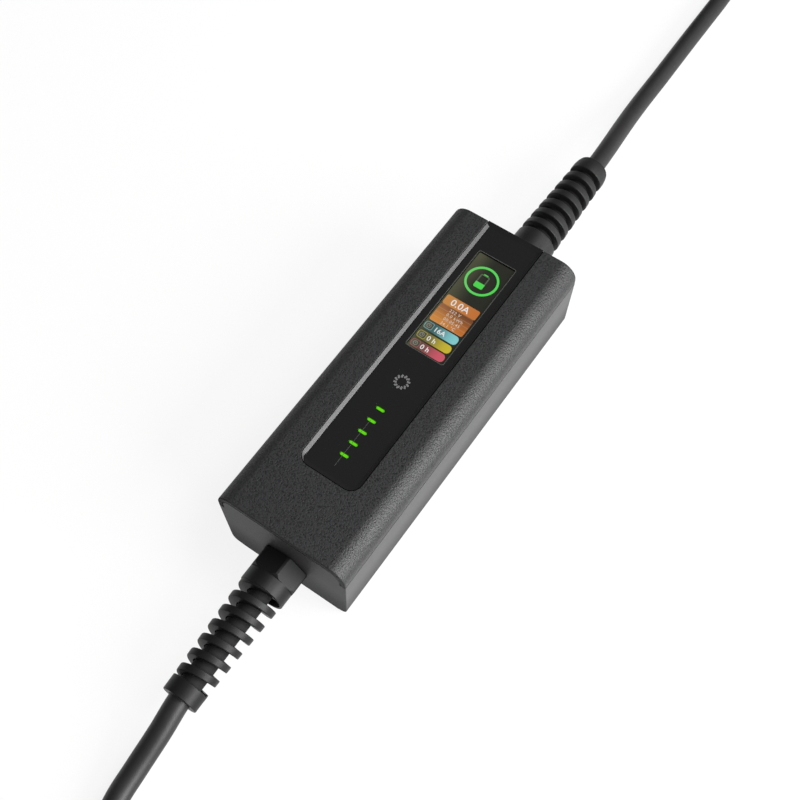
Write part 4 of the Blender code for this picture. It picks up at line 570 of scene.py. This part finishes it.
def lettering(name, words, cap, place, finish, bold=0.0, spacing=1.0):
    """Flat lettering on the display, by its cap height, left edge and the middle of its height."""
    bpy.ops.object.text_add(location=(place[0] * MM, (place[1] - cap / 2) * MM, TILE_TOP * MM))
    letters = bpy.context.object.data
    letters.body, letters.size = words, cap / CAP_SHARE * MM
    letters.offset, letters.extrude, letters.space_character = bold * MM, 0.02 * MM, spacing
    bpy.ops.object.convert(target="MESH")
    piece = begin(bpy.context.object, name, finish, "screen")
    bpy.ops.mesh.remove_doubles(threshold=1e-7)
    return settle(piece)


lettering("reading_current", "0.0A", 4.1, (-5.8, 53.0), WHITE, 0.06, 1.05)
for row, (name, words) in enumerate((("voltage", "222 V"), ("energy", "0.0 kWh"),
                                     ("time", "00:05:45"), ("warmth", "34.1 °C"))):
    lettering(f"reading_{name}", words, 1.85, (-3.5, 47.9 - ROW * row), PALE, 0.02, 1.15)
for name, words, height, tint in (("current", "16A", 33.6, (0.19, 0.42, 0.42)),
                                  ("delay", "0 h", 26.95, (0.42, 0.36, 0.03)),
                                  ("timer", "0 h", 20.7, (0.36, 0.10, 0.09))):
    lettering(f"setting_{name}", words, 2.9, (-3.9, height), WHITE, 0.07, 1.04)
    edge = lit(f"sign_edge_{name}", tint, tint)
    for part, room, finish in (("edge", 0.0, edge), ("ground", 0.3, DARK)):
        sign = plate(f"sign_{name}_{part}", (SIGN_LEFT + room, height - SIGN_HALF + room, TILE_TOP),
                     (SIGN_RIGHT - room, height + SIGN_HALF - room), 0.02 + room / 10, finish,
                     "screen")
        round_corners(sign, 1.0 - room / 2)
        settle(sign)
    bpy.ops.mesh.primitive_circle_add(vertices=40, radius=1.35 * MM, fill_type="NGON",
                                      location=(DIAL_X * MM, height * MM, (TILE_TOP + 0.05) * MM))
    dial = begin(bpy.context.object, f"sign_{name}_dial", FAINT, "screen")
    bpy.ops.mesh.inset(thickness=0.3 * MM)
    bpy.ops.mesh.delete(type="FACE")
    bpy.ops.mesh.select_all(action="SELECT")
    bpy.ops.mesh.extrude_region_move(TRANSFORM_OT_translate={"value": (0, 0, 0.03 * MM)})
    bpy.ops.mesh.select_all(action="SELECT")
    bpy.ops.mesh.normals_make_consistent(inside=False)
    for wide, high, right, up in ((0.3, 0.95, 0, 0.35), (0.75, 0.28, 0.25, 0)):
        bpy.ops.mesh.primitive_cube_add(size=1, scale=(wide * MM, high * MM, 0.03 * MM),
                                        location=((DIAL_X + right) * MM, (height + up) * MM,
                                                  (TILE_TOP + 0.065) * MM))
    settle(dial)


# Charge bars. Five green light pipes of clear moulded plastic stand in slots of the panel, a little
# below its face, and glow brightest in the middle.
pipe = Finish("light_pipe_green", Emission_Strength=1.0, Roughness=0.25, Specular_IOR_Level=0.3)
middle = 1 - pipe.ramp((pipe.axis("X") - AXIS).math("ABSOLUTE"), 1.2, 2.7)
cloud = pipe.noise(0.6, 2.0)
BAR = pipe.set(Base_Color=(0.004, 0.06, 0.0), Normal=pipe.relief(cloud, 0.01),
               Emission_Color=pipe.blend(middle * (cloud * 0.4 + 0.7), (0.065, 0.44, 0.0),
                                         (0.115, 0.66, 0.0)))
for number in range(1, 6):
    bar = moulding(f"charge_bar_{number}", BAR, "light_pipe")
    centre = sum((v.co for v in bar.data.vertices), Vector()) / len(bar.data.vertices)
    bpy.ops.transform.resize(value=(0.98, 0.86, 1.0), center_override=centre)
    soften(bar, 0.15, lambda at: at.z > 55.8)
    settle(bar)


# Output gland. One black nylon moulding: a hexagon dome nut, its open collar, a flat rib wound
# seven turns round the cable, and the sleeve at its end. It droops a little with the cable.
def spun(name, profile, centre, finish, slot, *nodes, axis="y", steps=72, closed=False):
    """Starts a round piece: a profile of pairs, radius and place along the axis, spun about it."""
    mesh = bpy.data.meshes.new(name)
    if axis == "y":
        points, pivot = [(centre[0] + r, at, centre[1]) for r, at in profile], (centre[0], 0, centre[1])
    else:
        points, pivot = [(centre[0] + r, centre[1], at) for r, at in profile], (*centre, 0)
    count = len(points)
    edges = [(i, (i + 1) % count) for i in range(count if closed else count - 1)]
    mesh.from_pydata([Vector(p) * MM for p in points], edges, [])
    piece = bpy.data.objects.new(name, mesh)
    scene.collection.objects.link(piece)
    begin(piece, name, finish, slot, *nodes)
    bpy.ops.mesh.spin(steps=steps, angle=2 * math.pi, center=Vector(pivot) * MM,
                      axis=(0, 1, 0) if axis == "y" else (0, 0, 1))
    bpy.ops.mesh.select_all(action="SELECT")
    bpy.ops.mesh.remove_doubles(threshold=1e-6)
    bpy.ops.mesh.normals_make_consistent(inside=False)
    return piece


def cut(piece, other, operation):
    """Applies a Boolean of the other piece, which is then taken away."""
    choose(piece)
    bpy.ops.object.modifier_add(type="BOOLEAN")
    tool = piece.modifiers[-1]
    tool.operation, tool.object, tool.solver = operation, other, "EXACT"
    bpy.ops.object.modifier_apply(modifier=tool.name)
    bpy.data.objects.remove(other, do_unlink=True)
    bpy.ops.object.mode_set(mode="EDIT")


def joined(piece, *others):
    """Joins other pieces into this one."""
    choose(piece)
    for other in others:
        other.select_set(True)
    bpy.ops.object.join()
    return piece


NYLON = moulded("black_nylon", (0.0075, 0.0075, 0.008), 0.44, grain=0.4, depth=0.014,
                Specular_IOR_Level=0.21)
NUT_BACK, NUT_FRONT, NUT_FLATS, NUT_TURN = -108.7, -120.7, 26.2, math.radians(18)
NUT_CORNER = NUT_FLATS / 2 / math.cos(math.radians(30))
bpy.ops.mesh.primitive_cylinder_add(vertices=6, radius=NUT_CORNER * MM,
                                    depth=(NUT_BACK - NUT_FRONT) * MM,
                                    location=(0, (NUT_BACK + NUT_FRONT) / 2 * MM, PORT * MM),
                                    rotation=(math.radians(90), NUT_TURN, 0))
gland = begin(bpy.context.object, "spiral_gland", NYLON, "nylon", "spiral_strain_relief")
dome = spun("dome", [(10.3, NUT_BACK + 1), (NUT_CORNER - 0.7, NUT_BACK + 1),
                     (NUT_CORNER - 0.7, NUT_BACK), (NUT_CORNER - 0.35, NUT_BACK - 0.7),
                     (NUT_CORNER - 0.35, NUT_FRONT + 1.4), (NUT_CORNER - 1.5, NUT_FRONT - 0.3),
                     (7.0, NUT_FRONT - 0.3), (7.0, -118.0), (10.3, -118.0)],
            (0, PORT), NYLON, "nylon", closed=True)
cut(gland, dome, "INTERSECT")
soften(gland, 0.25)
collar = spun("collar", [(6.6, -119.2), (13.1, -119.2), (13.1, COLLAR_END), (11.8, COLLAR_END),
                         (11.1, -125.3), (6.6, -125.3)], (0, PORT), NYLON, "nylon", closed=True)
soften(collar, 0.35, segments=3)

# The rib is a rectangle wound round the axis, then drawn in towards its end.
RIB_START, RIB_PITCH, RIB_TURNS, RIB_THICK, RIB_INNER = -123.9, 8.76, 7, 3.9, 6.8
RIB_OUTER, RIB_END_OUTER = 12.85, 10.3
mesh = bpy.data.meshes.new("rib")
mesh.from_pydata([(RIB_INNER * MM, RIB_START * MM, 0), (RIB_OUTER * MM, RIB_START * MM, 0),
                  (RIB_OUTER * MM, (RIB_START - RIB_THICK) * MM, 0),
                  (RIB_INNER * MM, (RIB_START - RIB_THICK) * MM, 0)],
                 [(0, 1), (1, 2), (2, 3), (3, 0)], [])
rib = bpy.data.objects.new("rib", mesh)
scene.collection.objects.link(rib)
choose(rib)
bpy.ops.object.modifier_add(type="SCREW")
winding = rib.modifiers[-1]
winding.axis, winding.angle, winding.screw_offset = "Y", -2 * math.pi, -RIB_PITCH * MM
winding.iterations, winding.steps, winding.render_steps = RIB_TURNS, 48, 48
bpy.ops.object.modifier_apply(modifier=winding.name)
begin(rib, "rib", NYLON, "nylon")
bpy.ops.mesh.remove_doubles(threshold=1e-6)
bpy.ops.mesh.fill_holes(sides=0)
bpy.ops.mesh.normals_make_consistent(inside=False)
soften(rib, 0.55, lambda at: math.hypot(at.x, at.z) > 12, segments=3)
bpy.ops.object.mode_set(mode="OBJECT")
for vert in rib.data.vertices:
    radius, y = math.hypot(vert.co.x, vert.co.z) / MM, vert.co.y / MM
    share = min(1.0, max(0.0, (RIB_START - y) / (RIB_TURNS * RIB_PITCH)))
    outer = RIB_OUTER + (RIB_END_OUTER - RIB_OUTER) * share
    wanted = RIB_INNER + (radius - RIB_INNER) * (outer - RIB_INNER) / (RIB_OUTER - RIB_INNER)
    vert.co.x *= wanted / radius
    vert.co.z = vert.co.z * wanted / radius + PORT * MM
sleeve = spun("sleeve", [(6.7, -186.42), (10.25, -186.42), (10.15, SLEEVE_END), (6.5, SLEEVE_END),
                         (6.5, -190.0)], (0, PORT), NYLON, "nylon", closed=True)
soften(sleeve, 0.45, segments=3)
joined(gland, collar, rib, sleeve)
for vert in gland.data.vertices:
    vert.co.z -= sag(vert.co.y / MM) * MM
settle(gland)

paint(moulded("threaded_nylon", (0.014, 0.014, 0.015), 0.42, depth=0.5,
              relief=lambda finish: finish.waves(finish.axis("Y"), 1.5)),
      "gland_spigot", "gland_locknut")
paint(moulded("seal_rubber", (0.016, 0.016, 0.017), 0.72, grain=0.5, depth=0.02), "gland_seal")


# Ribbed boot. The mains lead's strain relief, moulded in soft black plastic: a smooth base, seven
# grooves between ribs that thin out, a plain round tip, and a stem and flange in the end wall.
soft = Finish("boot_plastic", Specular_IOR_Level=0.32)
across, up = soft.axis("X"), soft.axis("Z") - PORT
# Down in the grooves the boot is painted near black: painted shade. It is also made rougher there.
deep = 1 - soft.ramp((across * across + up * up).math("SQRT"), 8.8, 11.2)  # down in the grooves
fine = soft.noise(0.5)
plain = soft.blend(soft.noise(15.0, 2.0), (0.0065, 0.0065, 0.007), (0.011, 0.011, 0.0115))
BOOT = soft.set(Base_Color=soft.blend(deep, plain, (0.0008, 0.0008, 0.0008)),
                Roughness=fine * 0.14 + deep * 0.4 + 0.38, Normal=soft.relief(fine, 0.014))
# Along the boot: its face on the end wall, the smooth base, the grooves, the tip and the end.
BOOT_FACE, BOOT_BASE, GROOVES, GROOVE_PITCH, GROOVE, DEPTH = 108.7, 25.9, 7, 8.5, 4.3, 4.0
BOOT_BORE, NECK, TIP, BOOT_END = 6.05, 12.5, 10.7, 200.1
profile = [(BOOT_BORE, 101.6), (12.0, 101.6), (12.0, 104.6), (9.0, 104.6), (9.0, BOOT_FACE),
           (13.2, BOOT_FACE)]
for number in range(GROOVES):
    outer = NECK + (TIP - NECK) * number / (GROOVES - 1)
    start = BOOT_FACE + BOOT_BASE + number * GROOVE_PITCH
    profile += [(outer, start), (outer - DEPTH, start + 0.3), (outer - DEPTH, start + GROOVE - 0.3),
                (outer, start + GROOVE)]
profile += [(TIP, BOOT_END - 6.0), (TIP - 0.5, BOOT_END - 3.0), (TIP - 1.2, BOOT_END - 0.8),
            (TIP - 2.2, BOOT_END), (BOOT_BORE, BOOT_END)]
boot = spun("ribbed_boot", profile, (0, PORT), BOOT, "boot", "ribbed_strain_relief", closed=True)
soften(boot, 0.45, lambda at: math.hypot(at.x, at.z - PORT) > 8.5, segments=3)
settle(boot)


# Case screws. Four zinc-plated steel screws with star recesses, sunk in wells of the underside.
steel = Finish("screw_steel", Metallic=1.0)
worn = steel.noise(1.2, 4.0)
STEEL = steel.set(Base_Color=steel.blend(worn, (0.42, 0.42, 0.43), (0.60, 0.60, 0.61)),
                  Roughness=worn * 0.25 + 0.22,
                  Normal=steel.relief(steel.waves(steel.axis("Z"), 0.8) * steel.ramp(
                      steel.axis("Z"), 3.0, 3.4), 0.3))
SCREW_X, SCREW_Y, STAR_ARMS, STAR_DEPTH = 30.5, 94.4, 6, 0.14
first = spun("case_screw", [(0, 1.9), (1.5, 1.9), (1.5, 0.9), (3.0, 0.9), (3.0, 3.1), (1.5, 3.1),
                            (1.5, 50.0), (0.6, 51.0), (0, 51.0)], (SCREW_X, SCREW_Y), STEEL,
             "screw_steel", axis="z", steps=48)
soften(first, 0.25, lambda at: math.hypot(at.x - SCREW_X, at.y - SCREW_Y) > 2.5)
bpy.ops.object.mode_set(mode="OBJECT")
for vert in first.data.vertices:
    out = Vector((vert.co.x - SCREW_X * MM, vert.co.y - SCREW_Y * MM))
    if vert.co.z < 2.0 * MM and 0.5 * MM < out.length < 1.7 * MM:
        lobe = 1 - STAR_DEPTH + STAR_DEPTH * math.cos(STAR_ARMS * math.atan2(out.y, out.x))
        vert.co.x, vert.co.y = SCREW_X * MM + out.x * lobe, SCREW_Y * MM + out.y * lobe
settle(first, 40.0)
screws = [first]
for x, y in ((-1, 1), (1, -1), (-1, -1)):
    copy = first.copy()
    copy.data = first.data.copy()
    scene.collection.objects.link(copy)
    copy.data.transform(Matrix.Translation(Vector(((x - 1) * SCREW_X, (y - 1) * SCREW_Y, 0)) * MM))
    screws.append(copy)
for screw, number in zip(screws, (4, 3, 2, 1)):
    screw.name = f"case_screw_star_{number}"
    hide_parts(f"case_screw_{number}")


# Electronics. Two glass-fibre boards carry the relays, the supply, its capacitor, the fault
# current sensor and the terminals, and six cores join the terminals to the cables.
board = Finish("solder_mask", Specular_IOR_Level=0.5, Roughness=0.35)
tracks = board.ramp(board.waves(board.axis("X") + board.axis("Y") * 0.5, 2.4), 0.55, 0.7)
weave = board.waves(board.axis("X"), 0.5) * board.waves(board.axis("Y"), 0.5)
pads = 1 - board.ramp(board.cells(6.0), 0.10, 0.13)
mask = board.blend(tracks, (0.008, 0.10, 0.03), (0.014, 0.15, 0.05))
paint(board.set(Base_Color=board.blend(pads, mask, (0.55, 0.53, 0.48)), Metallic=pads * 0.9,
                Normal=board.relief(tracks + weave * 0.2, 0.03)), "main_board", "display_board")
paint(moulded("relay_case", (0.02, 0.05, 0.16), 0.38, grain=0.3), "relay_1", "relay_2")
paint(moulded("supply_case", (0.025, 0.025, 0.026), 0.5, grain=0.4, depth=0.02), "power_supply")
paint(moulded("sensor_case", (0.02, 0.02, 0.021), 0.5, grain=0.35, depth=0.02),
      "fault_current_sensor")
paint(moulded("terminal_plastic", (0.05, 0.22, 0.07), 0.45), "output_terminals", "supply_terminals")
can = Finish("capacitor_sleeve", Specular_IOR_Level=0.5)
stripe = can.ramp(can.axis("X"), -18.5, -18.2) * (1 - can.ramp(can.axis("X"), -13.8, -13.5))
crinkle = can.noise(0.8, 3.0)
paint(can.set(Base_Color=can.blend(stripe * can.ramp(can.axis("Y"), -15.0, -14.8),
                                   (0.02, 0.03, 0.08), (0.45, 0.46, 0.48)),
              Roughness=crinkle * 0.15 + 0.25, Normal=can.relief(crinkle, 0.02)), "capacitor")
spring = Finish("touch_spring", Metallic=1.0)
coil = spring.waves(spring.axis("Z"), 0.6)
paint(spring.set(Base_Color=spring.blend(coil, (0.45, 0.22, 0.13), (0.78, 0.42, 0.26)),
                 Roughness=coil * 0.1 + 0.3, Normal=spring.relief(coil, 0.15)), "touch_sensor")
for side in ("output", "supply"):
    paint(moulded(f"{side}_brown_core", (0.16, 0.06, 0.02), 0.4), f"{side}_wire_1")
    paint(moulded(f"{side}_blue_core", (0.02, 0.10, 0.45), 0.4), f"{side}_wire_3")
    earth = Finish(f"{side}_earth_core", Specular_IOR_Level=0.5)
    band = earth.ramp(earth.waves(earth.axis("X") + earth.axis("Y") * 0.25, 3.2), 0.45, 0.55)
    smooth = earth.noise(0.4)
    paint(earth.set(Base_Color=earth.blend(band, (0.60, 0.50, 0.03), (0.04, 0.28, 0.05)),
                    Roughness=smooth * 0.1 + 0.35, Normal=earth.relief(smooth, 0.01)),
          f"{side}_wire_2")


# Hank ties. Two straps of black woven webbing hold the stored cable; each closes on itself with a
# sewn tab on top.
strap = Finish("strap_webbing", Specular_IOR_Level=0.2, Sheen_Weight=0.3)
weave = (strap.waves(strap.axis("X"), 1.1) * strap.waves(strap.axis("Y"), 0.9)
         + strap.waves(strap.axis("Z"), 1.1) * 0.3)
STRAP = strap.set(Base_Color=strap.blend(weave, (0.010, 0.010, 0.011), (0.035, 0.035, 0.037)),
                  Roughness=weave * 0.1 + 0.78, Normal=strap.relief(weave, 0.25))
TIE_OUT, TIE_Y, TIE_TOP, TAB_HALF = 49.0, -477, 39.7, (9, 8)
for side, name in ((1, "hank_tie_right"), (-1, "hank_tie_left")):
    tie = moulding(name, STRAP, "strap")
    soften(tie, 0.3)
    bpy.ops.object.mode_set(mode="OBJECT")
    middle = HANK_X + side * TIE_OUT
    tab = plate("tab", (middle - TAB_HALF[0], TIE_Y - TAB_HALF[1], TIE_TOP),
                (middle + TAB_HALF[0], TIE_Y + TAB_HALF[1]), 1.0, STRAP, "strap")
    round_corners(tab, 2.0)
    soften(tab, 0.25)
    settle(joined(tie, tab), 45.0)


# Vehicle connector. Two grip shells of textured black plastic hold a round barrel with a flat top;
# a rubber cap covers its mouth, a release button stands on its shoulder, and a rubber boot ends it.
GRIP = moulded("grip_plastic", (0.020, 0.020, 0.021), 0.5, grain=0.5, depth=0.06,
               relief=lambda finish: finish.cells(1.1, "SMOOTH_F1"), Specular_IOR_Level=0.4)
SHOULDER, GRIP_TAIL, CAP_MOUTH = -380, -490, -342  # along the connector
connector = []
for name in ("connector_grip_left", "connector_grip_right"):
    grip = moulding(name, GRIP, "grip")
    soften(grip, 0.5, lambda at: abs(at.x - HANK_X) < 0.3 or not GRIP_TAIL <= at.y <= SHOULDER)
    connector.append(settle(grip, 40.0))
barrel = moulding("connector_barrel", NYLON, "connector_nylon")
soften(barrel, 0.4)
RINGED = moulded("cap_rubber", (0.014, 0.014, 0.015), 0.6, grain=0.6, depth=0.3,
                 relief=lambda finish: finish.waves(finish.axis("Y"), 3.0))
cap = moulding("connector_dust_cap", RINGED, "seal_rubber")
soften(cap, 0.8, lambda at: at.y > CAP_MOUTH, segments=4)
RUBBER = moulded("boot_rubber", (0.010, 0.010, 0.0105), 0.5, grain=0.5, depth=0.014,
                 Specular_IOR_Level=0.32)
tail_boot = moulding("connector_strain_relief", RUBBER, "seal_rubber")
soften(tail_boot, 0.4)
connector += [settle(barrel), settle(cap), settle(tail_boot)]
BUTTON_Y, BUTTON_Z, BUTTON_TILT = -402.5, 55.6, math.radians(19.9)
bpy.ops.mesh.primitive_cube_add(size=1, location=(HANK_X * MM, BUTTON_Y * MM, BUTTON_Z * MM),
                                scale=(13 * MM, 22 * MM, 4.4 * MM), rotation=(BUTTON_TILT, 0, 0))
button = begin(bpy.context.object, "connector_release_button", NYLON, "grip")
soften(button, 1.6, segments=5)
pick(button, "faces", lambda at, normal: normal.z > 0.9)
bpy.ops.mesh.inset(thickness=1.2 * MM, depth=-0.4 * MM)
soften(button, 0.2)
connector.append(settle(button, 40.0))
contact = Finish("contact_block", Specular_IOR_Level=0.4, Roughness=0.5)
rings = contact.ramp(contact.cells(12.0), 0.30, 0.34)
paint(contact.set(Base_Color=contact.blend(rings, (0.16, 0.16, 0.17), (0.07, 0.07, 0.075)),
                  Normal=contact.relief(rings, 0.4)), "connector_contact_block")


# Mains plug. A round two-pin plug moulded in black plastic on the lead, with nickel-plated pins,
# earth strips in its sides and a ringed tail.
PLUG_X, PLUG_FACE, PLUG_AXIS, PLUG_R, PIN_OUT = -55.0, 392.0, 19.1, 19.0, 9.5
NECK_Y, PLUG_END, RINGS, RING_PITCH = PLUG_FACE + 42, PLUG_FACE + 72, 4, 7.5  # the ringed tail
profile = [(0, PLUG_FACE), (PLUG_R - 0.8, PLUG_FACE), (PLUG_R, PLUG_FACE + 0.8),
           (PLUG_R, PLUG_FACE + 16), (PLUG_R * 0.94, PLUG_FACE + 17), (PLUG_R * 0.93, PLUG_FACE + 21.5),
           (PLUG_R * 0.90, PLUG_FACE + 26), (PLUG_R * 0.84, PLUG_FACE + 31),
           (PLUG_R * 0.74, PLUG_FACE + 36), (PLUG_R * 0.65, PLUG_FACE + 39.5), (10.7, NECK_Y)]
for ring in range(RINGS):
    start, end = (NECK_Y + RING_PITCH * (ring + part) for part in (0.35, 0.62))
    radius = 9.5 - 2.65 * ring / RINGS
    profile += [(radius, start), (radius - 1, start + 0.3), (radius - 1, end - 0.3), (radius, end)]
profile += [(7.25, PLUG_END), (0, PLUG_END)]
plug = spun("plug_shell", profile, (PLUG_X, PLUG_AXIS), GRIP, "grip", "plug_body")
soften(plug, 0.3, lambda at: at.y > PLUG_FACE + 1)
for side in (-1, 1):
    hole = spun("hole", [(0, PLUG_FACE - 1), (2.6, PLUG_FACE - 1), (2.6, PLUG_FACE + 9),
                         (0, PLUG_FACE + 9)], (PLUG_X + side * PIN_OUT, PLUG_AXIS), GRIP, "grip",
                steps=32)
    cut(plug, hole, "DIFFERENCE")
    bpy.ops.object.mode_set(mode="OBJECT")
    bpy.ops.mesh.primitive_cube_add(size=1, location=(PLUG_X * MM, (PLUG_FACE + 5.5) * MM,
                                                      (PLUG_AXIS + side * PLUG_R) * MM),
                                    scale=(6.4 * MM, 13 * MM, 3.8 * MM))
    cut(plug, begin(bpy.context.object, "slot", GRIP, "grip"), "DIFFERENCE")
plug_parts = [settle(plug)]
nickel = Finish("nickel_plate", Metallic=1.0)
rub = nickel.noise(1.5, 4.0, (1.0, 0.15, 1.0))
NICKEL = nickel.set(Base_Color=nickel.blend(rub, (0.55, 0.53, 0.49), (0.72, 0.70, 0.66)),
                    Roughness=rub * 0.2 + 0.18, Normal=nickel.relief(rub, 0.005))
PIN_TIP, PIN_ROOT = 373, 400.7
for side, name in ((-1, "left"), (1, "right")):
    pin = spun(f"nickel_pin_{name}", [(0, PIN_TIP), (1.3, PIN_TIP), (2.0, PIN_TIP + 0.5),
                                      (2.4, PIN_TIP + 1.6), (2.4, PIN_ROOT), (0, PIN_ROOT)],
               (PLUG_X + side * PIN_OUT, PLUG_AXIS), NICKEL, "nickel", f"plug_pin_{name}", steps=32)
    plug_parts.append(settle(pin))
for name in ("plug_earth_top", "plug_earth_bottom"):
    strip = moulding(name, NICKEL, "nickel")
    soften(strip, 0.3)
    plug_parts.append(settle(strip))


# Studio. A sweep of white paper lies under the object and rises far behind it on every side, with
# two large softboxes on the right. Where it is seen the paper glows, and keeps a faint shadow.
paper = Finish("paper_sweep", Base_Color=(0.93, 0.93, 0.93), Roughness=0.9, Specular_IOR_Level=0.1)
straight, mirrored, through = (paper.add("LightPath", {}, {}, f"Is {kind} Ray")
                               for kind in ("Camera", "Glossy", "Transmission"))
seen = (straight + mirrored + through).math("MINIMUM", 1.0) * 0.86
glow = paper.add("Emission", {}, {"Color": (1, 1, 1), "Strength": 1.0})
sheet = paper.add("MixShader", {}, {0: seen, 1: Value(paper, paper.shader.outputs[0]), 2: glow})
paper.put(paper.tree.nodes["Material Output"].inputs["Surface"], sheet)
bpy.ops.mesh.primitive_circle_add(vertices=96, radius=3.0, fill_type="NGON", location=(0, 0, -0.0002))
floor = bpy.context.object
floor.name = "paper_floor"
bpy.ops.object.transform_apply(location=True)
bpy.ops.object.mode_set(mode="EDIT")
for lift, spread in ((0.03, 1.08), (0.09, 1.06), (0.16, 1.03), (0.27, 1.01)):
    bpy.ops.mesh.select_mode(type="EDGE")
    bpy.ops.mesh.select_all(action="DESELECT")
    shape = bmesh.from_edit_mesh(floor.data)
    for edge in shape.edges:
        edge.select_set(edge.is_boundary)
    bmesh.update_edit_mesh(floor.data)
    bpy.ops.mesh.extrude_edges_move(TRANSFORM_OT_translate={"value": (0, 0, lift)})
    bpy.ops.transform.resize(value=(spread, spread, 1), center_override=(0, 0, 0))
bpy.ops.object.mode_set(mode="OBJECT")
floor.data.shade_smooth()
floor.data.materials.append(paper.material)

world = bpy.data.worlds.new("studio")
world.use_nodes = True
scene.world = world
world.node_tree.nodes["Background"].inputs["Color"].default_value = (1, 1, 1, 1)
world.node_tree.nodes["Background"].inputs["Strength"].default_value = 0.22
scene.view_settings.view_transform = "Standard"


def softbox(name, place, size, power):
    """A rectangular softbox that faces the object."""
    lamp = bpy.data.lights.new(name, "AREA")
    lamp.shape, lamp.size, lamp.size_y, lamp.energy = "RECTANGLE", *size, power
    light = bpy.data.objects.new(name, lamp)
    scene.collection.objects.link(light)
    light.location = place
    light.rotation_euler = (-Vector(place)).to_track_quat("-Z", "Y").to_euler()


softbox("softbox_side", (1.65, 0.04, 0.72), (1.6, 1.1), 67)
softbox("softbox_high", (0.95, 0.55, 1.7), (1.0, 0.8), 22)
